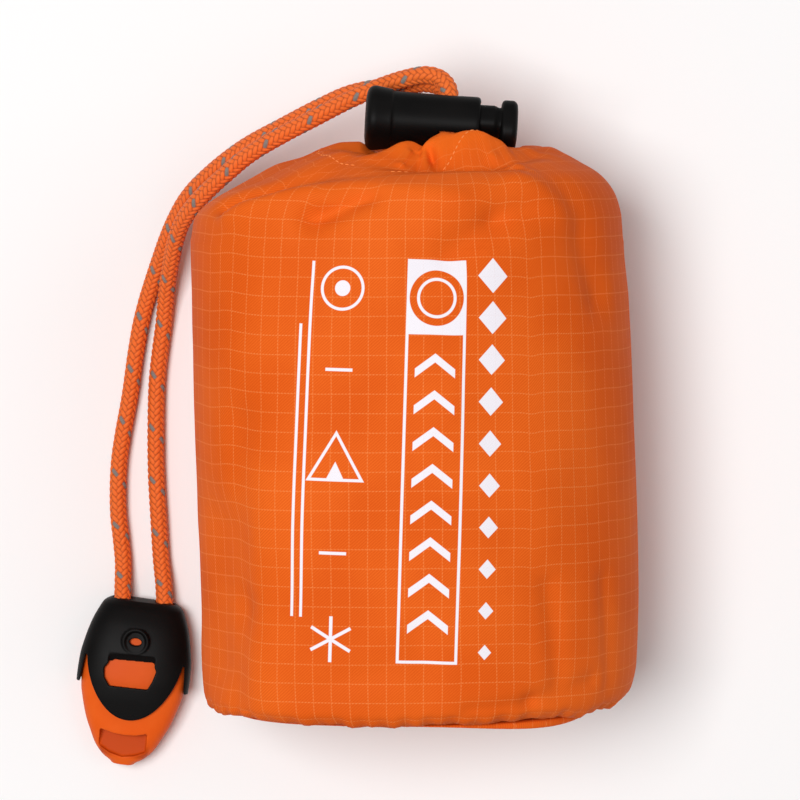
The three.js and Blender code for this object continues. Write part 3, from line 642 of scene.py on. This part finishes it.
def softNoise(u, v, size, seed):
    # gentle hills of the given size, the same at each run
    cells = 64
    grid = np.random.default_rng(seed).uniform(-1, 1, (cells, cells))
    x, y = np.asarray(u) / size, np.asarray(v) / size
    i, j = np.floor(x).astype(int), np.floor(y).astype(int)

    def corner(a, b):
        return grid[(i + a) % cells, (j + b) % cells]

    return blend(corner, smooth(0, 1, x - i), smooth(0, 1, y - j))


def normalsOf(grid):
    # outward normals of a grid of points, closed around
    ahead = np.gradient(grid, axis=0)
    aside = np.roll(grid, -1, axis=1) - np.roll(grid, 1, axis=1)
    normal = np.cross(aside, ahead)
    return -normal / np.maximum(norm(normal, axis=2, keepdims=True), 1e-9)


def sackGrid():
    # rings of points from the base's middle up the wall and in to the neck, each with its reach
    angles = np.radians(-90) + fullTurn(sack["around"])
    rings, reaches = [], []
    x, z = sectionPoints(*sack["wall"][0][1:], angles)
    middle = sack["middle"]
    for share in np.linspace(*sack["baseShares"]):
        rings.append((x * share, np.full_like(x, sack["baseFace"]), middle + (z - middle) * share))
        reaches.append(sack["onBase"])
    topY = sack["wall"][-1][0]
    rows = [np.linspace(*sack["hemRows"]), np.arange(sack["wallFrom"], topY, sack["wallStep"]), [topY]]
    for y in np.concatenate(rows):
        x, z = sectionPoints(*curveThrough(sack["wall"], [y])[0], angles)
        rings.append((x, y + (shoulderHeight(1.0, angles) - topY) * smooth(0, topY, y), z))
        reaches.append(sack["onWall"])
    x, z = sectionPoints(*sack["wall"][-1][1:], angles)
    neckX, neckZ = sack["neck"]
    shares = [row[0] for row in sack["shoulder"]]
    for high, low in zip(shares, shares[1:]):
        for step in range(1, sack["capSteps"] + 1):
            reach = high + (low - high) * step / sack["capSteps"]
            y = shoulderHeight(reach, angles) + pleatHeight(reach, angles)
            rings.append((neckX + (x - neckX) * reach, y, neckZ + (z - neckZ) * reach))
            reaches.append(reach)
    return np.array(rings).transpose(0, 2, 1), np.array(reaches), angles


def pressFolds(grid):
    lift = np.zeros(grid.shape[:2])
    for start, end, width, high in sack["folds"]:
        a, b = np.array(start, float), np.array(end, float)
        t = np.clip(((grid - a) @ (b - a)) / ((b - a) @ (b - a)), 0, 1)[..., None]
        lift += high * bell(norm(grid - (a + t * (b - a)), axis=2), width)
    return lift * smooth(18, 22, grid[..., 2])


def clothPlaces(grid, reaches):
    # u runs round the wall from the front's middle, v runs up each column from the base
    firstWall = int(np.argmax(reaches == sack["onWall"]))
    ring = grid[firstWall + sack["mapRing"]]
    steps = norm(np.roll(ring, -1, axis=0) - ring, axis=1)
    u = np.concatenate([[0], np.cumsum(steps)])
    rise = norm(np.diff(grid, axis=0), axis=2)
    v = np.vstack([np.zeros(grid.shape[1]), np.cumsum(rise, axis=0)])
    return u[sack["around"] // 2] - u, v - v[firstWall] + sack["wall"][0][0]


def sackCloth():
    grid, reaches, angles = sackGrid()
    grid = grid + normalsOf(grid) * pressFolds(grid)[..., None]
    u, v = clothPlaces(grid, reaches)
    place = np.broadcast_to(u[:-1], v.shape)
    seam = v - sack["wall"][0][0]
    shift, pucker = sack["noiseShift"], sack["pucker"]
    drift = softNoise(place + shift, v * 0, *pucker["drift"]) * 3
    waves = np.sin(place * 2 * math.pi / pucker["pitch"] + drift)
    lift = pucker["high"] * waves * bell(seam - pucker["at"], pucker["spread"])
    for size, seed, high in sack["swells"]:
        lift += softNoise(place + shift, v + shift, size, seed) * high
    for high, at, spread in sack["roll"]:
        lift += high * bell(seam - at, spread)
    lift = lift * (reaches[:, None] > 0) + gathers(angles, reaches)
    sag = sum(softNoise(place + shift, v * 0, size, seed) * high for size, seed, high in sack["sag"])
    onBase = smooth(18, 25, np.arange(len(reaches)))
    share = np.where(reaches < 0, onBase, bell(seam[:, 0], sack["sagSpread"]))
    grid[..., 1] += sag * share[:, None]
    grid = grid + normalsOf(grid) * (lift * smooth(0.2, 3.0, grid[..., 2]))[..., None]
    grid[..., 2] = np.maximum(grid[..., 2], 0.0)
    neckX, neckZ = sack["neck"]
    points, quads, tips = closedLoft(
        grid, (0, sack["baseFace"], sack["middle"]), (neckX, sack["mouthFloor"], neckZ))
    places = np.stack([np.broadcast_to(u, (len(v), len(u))), np.hstack([v, v[:, :1]])], axis=-1)
    corners = np.stack([places[:-1, :-1], places[1:, :-1], places[1:, 1:], places[:-1, 1:]], axis=2)
    gathered = np.repeat(1 - smooth(0.4, 0.5, np.where(reaches < 0, 2, reaches)), len(angles))
    faces = turned(quads), turned(tips)
    return (grid, reaches, angles), points, faces, corners.reshape(-1, 4, 2) * mm, [*gathered, 0, 1]


def onCloth(surface, places):
    # points of the cloth at places given as angle in degrees and reach
    grid, reaches, angles = surface
    cap = int(np.argmax((reaches < 1.0) & (reaches > 0)))
    row = np.interp(-places[:, 1], -reaches[cap:], np.arange(cap, len(reaches)))
    column = (places[:, 0] - math.degrees(angles[0])) / 360 * len(angles)
    i, j = np.floor(row).astype(int), np.floor(column).astype(int)

    def corner(a, b):
        return grid[i + a, (j + b) % len(angles)]

    return blend(corner, (row - i)[:, None], (column - j)[:, None])


def mark(piece, name, values):
    # one number for each point of a piece, read by its finish
    layer = piece.data.attributes.new(name, "FLOAT", "POINT")
    layer.data.foreach_set("value", np.clip(values, 0, 1).astype(np.float32))


def makeSack(finish):
    surface, points, faces, corners, gathered = sackCloth()
    piece = newPiece("sackCloth", points, faces, finish, corners)
    mark(piece, "gathered", gathered)
    return piece, surface


sackPiece, sackSurface = makeSack(clothFinish("printedRipstop", True))
declare(sackPiece, "bag", "sack")

# hem stitches round the neck: pitch and size, then angle and reach along the seam
stitches = {
    "pitch": 1.3, "long": 0.85, "thick": 0.24, "colour": "F4934F", "shade": "F58B45", "steps": 500,
    "seam": [
        (104, 0.66), (92, 0.6), (86, 0.52), (80, 0.45), (72, 0.4), (62, 0.375), (50, 0.37), (36, 0.4),
        (14, 0.43), (-14, 0.45), (-45, 0.46), (-90, 0.46), (-135, 0.46), (-170, 0.48), (-200, 0.52),
        (-222, 0.55), (-238, 0.6),
    ],
}


def stitchTree():
    # sets one thread loop on the line at every pitch
    numbers = dict.fromkeys(("Pitch", "Long", "Thick"), "Float")
    tree, inputs, desk, take = newTree("hemStitches", numbers)
    line = desk.node("GeometryNodeMeshToCurve", [take["Line"]])
    places = {"Curve": line, "Length": take["Pitch"]}
    line = desk.node("GeometryNodeResampleCurve", places, {"mode": "LENGTH"})
    bead = desk.node("GeometryNodeMeshUVSphere", {"Segments": 10, "Rings": 8, "Radius": 0.5})
    size = desk.node("ShaderNodeCombineXYZ", [take["Thick"], take["Thick"], take["Long"]])
    way = desk.node("GeometryNodeInputTangent")
    turn = desk.node("FunctionNodeAlignRotationToVector", {"Vector": way}, {"axis": "Z"})
    values = {"Points": line, "Instance": bead, "Rotation": turn, "Scale": size}
    desk.dress(desk.node("GeometryNodeInstanceOnPoints", values), take["Finish"])
    return tree, inputs


def threadFinish():
    finish, desk = newFinish("sewingThread")
    mottle = desk.noise(desk.objectPlace(), 1500.0, 2.0)
    colour = desk.tint(mottle.step(0.35, 0.65), paint(stitches["colour"]), paint(stitches["shade"]))
    coat(desk, {"Base Color": colour, "Roughness": 0.7, "Specular IOR Level": 0.15})
    return finish


def sewHem(surface, finish):
    seam = [(k, *place) for k, place in enumerate(stitches["seam"])]
    places = curveThrough(seam, np.linspace(0, len(seam) - 1, stitches["steps"]))
    values = {key: stitches[key.lower()] * mm for key in ("Pitch", "Long", "Thick")}
    return growOn(onCloth(surface, places), "neckStitches", *stitchTree(), {**values, "Finish": finish})


stitchPiece = sewHem(sackSurface, threadFinish())
declare(stitchPiece, "bag")


# round end panel, sewn to the wall's lower edge
endPanel = {
    "around": 240, "edge": 0.2, "thickness": 1.7, "edgeReach": 0.91, "gap": 0.3, "lowest": 1.2, "roll": 0.004,
    # where the seam pulls the panel into sight
    "sliver": {"angle": 50, "spread": 24, "depth": 1.2, "reach": 0.05},
    "pucker": {"high": 0.16, "count": 46, "at": 3.0, "spread": 2.0}, "hills": (14, 21, 0.25),
    # rings of the inner face, the rolled edge and the outer face: first, last and how many
    "inner": (0.05, 1, 12), "rolled": (0.15, 0.85, 5), "outer": (1, 0.03, 44), "halfWide": 40,
}


def makeEndPanel(finish):
    angles = fullTurn(endPanel["around"])
    edgeX, edgeZ = sectionPoints(*sack["wall"][0][1:], angles)
    near, middle = sack["baseFace"] - endPanel["gap"], sack["middle"]
    rings = []

    def addRing(share, depth):
        z = middle + (edgeZ - middle) * share
        rings.append(np.stack([edgeX * share, near - depth, np.maximum(z, endPanel["lowest"])], axis=-1))

    sliver, pucker, shift = endPanel["sliver"], endPanel["pucker"], sack["noiseShift"]
    pull = bell(turnFrom(angles, sliver["angle"]), sliver["spread"])
    edge, reach = endPanel["edge"] + sliver["depth"] * pull, endPanel["edgeReach"] + sliver["reach"] * pull
    for share in np.linspace(*endPanel["inner"]):
        addRing(share * reach, np.zeros_like(angles))
    for turn in np.linspace(*endPanel["rolled"]):
        addRing(reach + math.sin(turn * math.pi) * endPanel["roll"], edge * turn)
    size, seed, high = endPanel["hills"]
    waves = pucker["high"] * np.sin(angles * pucker["count"] + 2 * np.sin(angles * 5))
    for share in np.linspace(*endPanel["outer"]):
        swell = edge + (endPanel["thickness"] - edge) * (1 - share ** 3)
        far = (1 - share) * endPanel["halfWide"]
        puckers = waves * bell(far - pucker["at"], pucker["spread"]) * smooth(0, 2, far)
        hills = softNoise(edgeX * share + shift, edgeZ * share + shift, size, seed) * high * (1 - share ** 8)
        addRing(reach * share, swell + puckers + hills)
    points, quads, tips = closedLoft(rings, (0, near, middle), (0, near - endPanel["thickness"], middle))
    return newPiece("endPanelCloth", points, (quads, tips), finish, points[quads][:, :, (0, 2)] * mm)


endPiece = makeEndPanel(clothFinish("plainRipstop", False))
declare(endPiece, "bag", "base_panel")


# moulded plastic
def plasticFinish(name, look):
    finish, desk = newFinish(name)
    place = desk.objectPlace()
    cloud, grain = desk.noise(place, 160.0, 3.0), desk.noise(place, 5200.0, 2.0)
    coarse = desk.node("ShaderNodeTexVoronoi", {"Vector": place, "Scale": 3600.0})
    rough = desk.marked("grain")
    tone = desk.tint(cloud.step(0.35, 0.75) * 0.3 + grain * 0.1, paint(look["colour"]), paint(look["light"]))
    tone = desk.tint(rough * coarse.step(0.5, 0.15) * 0.35, tone, paint(look["light"]))
    # painted shade: the whistle's mouth and the floor below its window are tinted to the deep colour
    tone = desk.tint(desk.marked("mouthShade") * 0.75, tone, paint(look["deep"]))
    bump = desk.bump(grain * (1 - rough) * 0.3 + coarse * rough * -1.0, look["relief"], 0.1)
    coat(desk, {"Base Color": tone, "Roughness": cloud * 0.12 + rough * 0.15 + look["roughness"],
                "Normal": bump, "Specular IOR Level": look["specular"]})
    return finish


def shaped(frameMatrix, points):
    return [tuple(frameMatrix @ Vector(p)) for p in points]


def useTool(piece, tool, operation="DIFFERENCE"):
    change = piece.modifiers.new(operation.lower(), "BOOLEAN")
    change.operation = operation
    change.object = tool
    change.solver = "EXACT"
    plainMesh(piece)
    bpy.data.objects.remove(tool)


def mould(piece, voxel, softening, kept):
    # rounds every edge a little, as a mould does
    skin = piece.modifiers.new("skin", "REMESH")
    skin.mode = "VOXEL"
    skin.voxel_size = voxel * mm
    soften = piece.modifiers.new("soften", "SMOOTH")
    soften.factor = 0.5
    soften.iterations = softening
    fewer = piece.modifiers.new("fewer", "DECIMATE")
    fewer.ratio = kept
    finish = piece.data.materials[0]
    plainMesh(piece)
    if not piece.data.materials:
        piece.data.materials.append(finish)
    return piece


def markWhere(piece, name, frameMatrix, share):
    # share takes x, y and z in millimetres in the piece's own frame and gives the attribute's value there
    back = frameMatrix.inverted()
    places = np.array([back @ (vertex.co / mm) for vertex in piece.data.vertices])
    mark(piece, name, share(*places.T))


def prism(outline, low, high, frameMatrix, finish):
    # block over an anticlockwise outline; low and high may be one height for each corner
    rings = [[(x, y, z) for (x, y), z in zip(outline, np.broadcast_to(heights, len(outline)))]
             for heights in (low, high)]
    points, quads, tips = closedLoft(rings, *np.mean(rings, axis=1))
    return newPiece("tool", shaped(frameMatrix, points), (quads, tips), finish)


# cord lock: flared barrel, sprung plunger with a round head
lock = {
    "place": (1.1, 59.6, 49.0), "turn": -3.5, "roll": 25, "length": 22.5, "wide": 11.4, "high": 9.4,
    "endWall": 4.2, "slotAt": 5.1, "slotAlong": 4.1, "slotAcross": 7.9, "stemWide": 9.4, "stemHigh": 5.9,
    "reachIn": 10.2, "travel": 3.7, "headWide": 9.0, "gap": 0.3, "barrelSquare": 2.8, "stemSquare": 3.4,
    "hollowSquare": 4.0, "around": 96, "grain": 0.12,
    "barrelMould": (0.17, 4, 0.4), "plungerMould": (0.15, 3, 0.4),
    # from the closed end, height and width as shares
    "flare": [
        (0.0, 0.7, 0.74), (0.15, 0.92, 0.93), (0.5, 1.08, 1.07), (1.2, 1.185, 1.16), (1.9, 1.2, 1.18),
        (3.0, 1.17, 1.15), (4.3, 1.13, 1.12), (5.1, 1.115, 1.11), (5.35, 1.045, 1.045), (8.0, 1.03, 1.03),
        (12.0, 1.01, 1.01), (17.0, 1.0, 1.0), (21.7, 1.0, 1.0), (22.25, 0.97, 0.975), (22.5, 0.88, 0.9),
    ],
    # from the head's inner face
    "stem": [(-1.5, 1.0, 1.0), (-1.2, 0.99, 1.0), (-0.6, 0.93, 0.9), (0.0, 0.9, 0.86)],
    "head": [(0.05, 0.8, 0.84), (0.25, 0.93, 0.95), (0.8, 1.0, 1.0), (2.3, 1.0, 1.0), (2.9, 0.94, 0.94),
             (3.3, 0.8, 0.8), (3.4, 0.6, 0.6)],
}
lockFrame = (Matrix.Translation(lock["place"]) @ Matrix.Rotation(math.radians(lock["turn"]), 4, "Z")
             @ Matrix.Rotation(math.radians(-lock["roll"]), 4, "X"))


def bar(name, rows, square, finish):
    # rounded bar along x: each row is place, half height and half width
    c, s = squareRing(lock["around"], square)
    rings = [np.stack([np.full_like(c, x), high * c, wide * s], axis=-1) for x, high, wide in rows]
    points, quads, tips = closedLoft(rings, (rows[0][0], 0, 0), (rows[-1][0], 0, 0))
    return newPiece(name, shaped(lockFrame, points), (quads, tips), finish)


def scaledRows(table, start, high, wide, count=None):
    # the table's rows in millimetres, or as many rows on a smooth curve through them
    if count:
        at = np.linspace(table[0][0], table[-1][0], count)
        table = np.column_stack([at, curveThrough(table, at)])
    return [(start + x, h * high, w * wide) for x, h, w in table]


def cordSlot(extra, finish):
    start, side, tall = lock["slotAt"] - lock["slotAlong"] / 2, lock["slotAcross"] / 2, lock["high"]
    end = start + lock["slotAlong"] + extra
    return prism([(start, -tall), (end, -tall), (end, tall), (start, tall)], -side, side, lockFrame, finish)


def makeLock(finish):
    half, gap = lock["length"] / 2, lock["gap"]
    rows = scaledRows(lock["flare"], -half, lock["high"] / 2, lock["wide"] / 2, 120)
    barrel = bar("lockBarrel", rows, lock["barrelSquare"], finish)
    high, wide = lock["stemHigh"] / 2, lock["stemWide"] / 2
    hollow = [(x, high + gap, wide + gap) for x in (lock["endWall"] - half, half + 1)]
    useTool(barrel, bar("tool", hollow, lock["hollowSquare"], finish))
    useTool(barrel, cordSlot(0, finish))
    mould(barrel, *lock["barrelMould"])
    headStart, headHalf = half + lock["travel"] + gap, lock["headWide"] / 2
    rows = [(half - lock["reachIn"], high, wide)]
    rows += scaledRows(lock["stem"], headStart, high, wide)
    rows += scaledRows(lock["head"], headStart, headHalf, headHalf, 24)
    plunger = bar("lockPlunger", rows, lock["stemSquare"], finish)
    useTool(plunger, cordSlot(lock["travel"], finish))
    mould(plunger, *lock["plungerMould"])
    for piece in (barrel, plunger):
        mark(piece, "grain", np.full(len(piece.data.vertices), lock["grain"]))
    return barrel, plunger


black = {"colour": "080707", "light": "131110", "deep": "080707",
         "roughness": 0.44, "specular": 0.1, "relief": 0.45}
blackFinish = plasticFinish("blackPlastic", black)
barrelPiece, plungerPiece = makeLock(blackFinish)
declare(barrelPiece, "bag", "lock_barrel")
declare(plungerPiece, "plunger", "lock_plunger")

# whistle: orange body under a black cap with a window; x across, y towards the cords
whistle = {
    "place": (-59.2, -57.3, 0.0), "turn": -7.8, "square": 2.9, "gap": 0.3, "bodyRise": 1.2, "bodyFrom": -11.6,
    "around": 112, "steps": 70, "ends": (0.35, 0.25),
    "bodyMould": (0.2, 4, 0.35), "capMould": (0.17, 3, 0.35),
    # from the cord end: half width of the cap and of the body, top
    "length": [
        (-16.9, 6.8, 5.4, 7.4), (-16.2, 8.1, 6.6, 8.2), (-14.6, 9.0, 7.7, 9.2), (-11.6, 10.2, 9.0, 10.4),
        (-8.0, 11.1, 10.0, 11.2), (-4.2, 11.7, 10.7, 11.6), (-1.0, 11.8, 10.9, 11.7), (1.9, 11.7, 10.7, 11.5),
        (5.0, 11.1, 10.0, 11.1), (8.8, 9.9, 8.8, 10.5), (11.4, 8.7, 7.6, 10.0), (14.0, 7.4, 6.3, 9.4),
        (16.2, 5.5, 4.4, 8.8), (17.7, 3.4, 2.4, 8.0),
    ],
    "shellHeights": (-5, 25), "eyeletHeights": (2, 14),
    "window": [(-4.54, -0.85), (3.4, -0.65), (4.21, 1.15), (4.76, 3.3), (4.3, 4.2), (-5.3, 3.85),
               (-6.06, 2.7), (-5.82, 0.83)],
    "windowFloor": 6.0, "toolTop": 20,
    "lip": [(-5.3, 3.7), (4.3, 4.1), (4.2, 6.3), (-5.4, 5.9)], "lipHeights": (10.3, 10.3, 11.3, 11.3),
    "mouth": [(-5.3, -14.1), (-2.9, -15.3), (-0.2, -15.9), (2.4, -15.4), (4.6, -14.4), (4.5, -10.3),
              (2.4, -10.9), (0.2, -11.15), (-2.4, -11.0), (-5.4, -10.4)],
    "mouthFloor": (5.3, 10.5, 0.3),
    "eyelet": (-0.3, 8.9), "eyeletHole": (1.25, 0.75), "eyeletRing": (2.5, 0.42), "eyeletTop": 11.05,
    "tongueRoot": 5.2, "tongueTip": -7.7, "tongueHalf": 10.0, "tongueFull": 1.31,
    "notchTop": 0.4, "notchEnd": 0.9, "sideEnd": 1.0, "outside": (14, 20),
    # the strand's direction is taken over its last steps
    "socket": {"radius": 2.0, "depth": 3.4, "long": 3.9, "lastSteps": 30},
}
whistleFrame = Matrix.Translation(whistle["place"]) @ Matrix.Rotation(math.radians(whistle["turn"]), 4, "Z")


def whistleShell(name, column, start, grow, lift, rise, finish):
    c, s = squareRing(whistle["around"], whistle["square"])
    tail = whistle["length"][-1][0]
    rings = []
    for v in np.linspace(start, tail, whistle["steps"]):
        row = curveThrough(whistle["length"], [v])[0]
        wide, high = row[column] + grow, (row[2] + rise - lift) / 2
        rings.append(np.stack([wide * c, np.full_like(c, -v), lift + high + high * s], axis=-1))
    first, last = (ring[:, 2].mean() for ring in (rings[0], rings[-1]))
    near, far = whistle["ends"]
    points, quads, tips = closedLoft(rings, (0, near - start, first), (0, -tail - far, last))
    return newPiece(name, shaped(whistleFrame, points), (quads, tips), finish)


def oval(x, y, across, along):
    angles = fullTurn(40)
    return list(zip(x + across * np.cos(angles), y + along * np.sin(angles)))


def capOutline():
    # the cord end, the side walls to their ends and the round tongue between two notches
    half, root, end = whistle["tongueHalf"], whistle["tongueRoot"], whistle["sideEnd"]
    side, top = whistle["outside"]
    angles = math.pi + math.pi * np.linspace(0, 1, 81)
    depth = abs(np.sin(angles)) ** whistle["tongueFull"]
    outline = list(zip(half * np.cos(angles), root + (whistle["tongueTip"] - root) * depth))
    right = [(half + whistle["notchTop"], root - whistle["notchTop"]), (half + whistle["notchEnd"], -end),
             (side, -end - 0.6), (side, top)]
    return outline + right + [(-x, y) for x, y in reversed(right)]


def eyeletRim(finish):
    ring, tube = whistle["eyeletRing"]
    bpy.ops.mesh.primitive_torus_add(
        major_segments=64, minor_segments=16, major_radius=ring * mm, minor_radius=tube * mm)
    rim = bpy.context.object
    placed = whistleFrame @ Matrix.Translation((*whistle["eyelet"], whistle["eyeletTop"]))
    rim.data.transform(Matrix.Scale(mm, 4) @ placed @ Matrix.Scale(1 / mm, 4))
    rim.data.materials.append(finish)
    return rim


def grained(x, y, z):
    # the tongue's tip and the lip over the window
    lip = band((3.9, 4.3), (5.9, 6.4), y) * (1 - smooth(4.4, 5.2, abs(x + 0.5)))
    return np.maximum((1 - smooth(-5.4, -3.6, y)) * 0.8, lip)


def shadedMouth(x, y, z):
    # painted shade in the air slot, and a little on the floor below the window
    slot = band((-16.4, -15.4), (-10.6, -10.0), y) * (1 - smooth(4.7, 5.5, abs(x)))
    window = (1 - smooth(5.8, 6.4, abs(x + 0.5))) * smooth(-1.2, -0.6, y) * smooth(9, 9.4, z)
    return np.maximum(slot * band((3.5, 4.5), (7.2, 8.4), z), window * 0.4)


def makeWhistle(orange, black):
    top, gap, start, rise = (whistle[key] for key in ("toolTop", "gap", "bodyFrom", "bodyRise"))
    body = whistleShell("whistleBody", 1, start, 0, 0, -rise, orange)
    floor, level, slope = whistle["mouthFloor"]
    floors = [floor - (level + y) * slope for x, y in whistle["mouth"]]
    useTool(body, prism(whistle["mouth"], floors, top, whistleFrame, orange))
    mould(body, *whistle["bodyMould"])
    cap = whistleShell("whistleCap", 0, whistle["length"][0][0], 0, 0, 0, black)
    useTool(cap, whistleShell("tool", 1, start - 0.6, gap, -1, gap - rise, black))

    def cutCap(outline, low, high, operation="DIFFERENCE", place=whistleFrame):
        useTool(cap, prism(outline, low, high, place, black), operation)

    cutCap(whistle["window"], whistle["windowFloor"], top)
    cutCap(whistle["lip"], whistle["lipHeights"], top)
    cutCap(capOutline(), *whistle["shellHeights"], "INTERSECT")
    useTool(cap, eyeletRim(black), "UNION")
    cutCap(oval(*whistle["eyelet"], *whistle["eyeletHole"]), *whistle["eyeletHeights"])
    socket = whistle["socket"]
    for line in (parts[1] for parts in laid.values()):
        end, before = Vector(line[-1]) / mm, Vector(line[-socket["lastSteps"]]) / mm
        way = (end - before).normalized()
        turn = way.to_track_quat("Z", "Y").to_matrix().to_4x4()
        hole = oval(0, 0, socket["radius"], socket["radius"])
        place = Matrix.Translation(end - way * socket["depth"]) @ turn
        cutCap(hole, 0, socket["long"], place=place)
    mould(cap, *whistle["capMould"])
    markWhere(cap, "grain", whistleFrame, grained)
    markWhere(body, "mouthShade", whistleFrame, shadedMouth)
    return body, cap


# its deep colour is painted shade for the mouth and the window floor
orange = {"colour": "E65A14", "light": "EE6C26", "deep": "B53F08",
          "roughness": 0.42, "specular": 0.1, "relief": 0.12}
bodyPiece, capPiece = makeWhistle(plasticFinish("orangePlastic", orange), blackFinish)
declare(bodyPiece, "bag", "whistle_body")
declare(capPiece, "bag", "whistle_cap")

for node, (strand, line, long) in laid.items():
    declare(strand, "bag", node)

# floor and light
studio = {
    "floor": "F6F6F6", "reach": 2000, "level": -0.2, "sky": 0.27, "aim": (0, 0, 0.04),
    # place, size and power
    "lamps": {"keyLamp": ((-0.32, 0.12, 1.3), 0.5, 13.8), "fillLamp": ((0.8, 0.2, 1.1), 0.8, 2.2)},
}


def makeStudio():
    finish, desk = newFinish("studioFloor")
    coat(desk, {"Base Color": paint(studio["floor"]), "Roughness": 0.9})
    corners = [(x * studio["reach"], y * studio["reach"], studio["level"])
               for x, y in ((-1, -1), (1, -1), (1, 1), (-1, 1))]
    newPiece("studioFloor", corners, [(0, 1, 2, 3)], finish)
    world = bpy.data.worlds.new("studioAir")
    world.use_nodes = True
    air = world.node_tree.nodes["Background"].inputs
    air[0].default_value = (1, 1, 1, 1)
    air[1].default_value = studio["sky"]
    bpy.context.scene.world = world
    for name, (place, size, power) in studio["lamps"].items():
        data = bpy.data.lights.new(name, "AREA")
        data.size = size
        data.energy = power
        lamp = addObject(name, data)
        lamp.location = place
        lamp.rotation_euler = (Vector(studio["aim"]) - Vector(place)).to_track_quat("-Z", "Y").to_euler()
    bpy.context.scene.view_settings.view_transform = "Standard"


makeStudio()
print("studio lit")
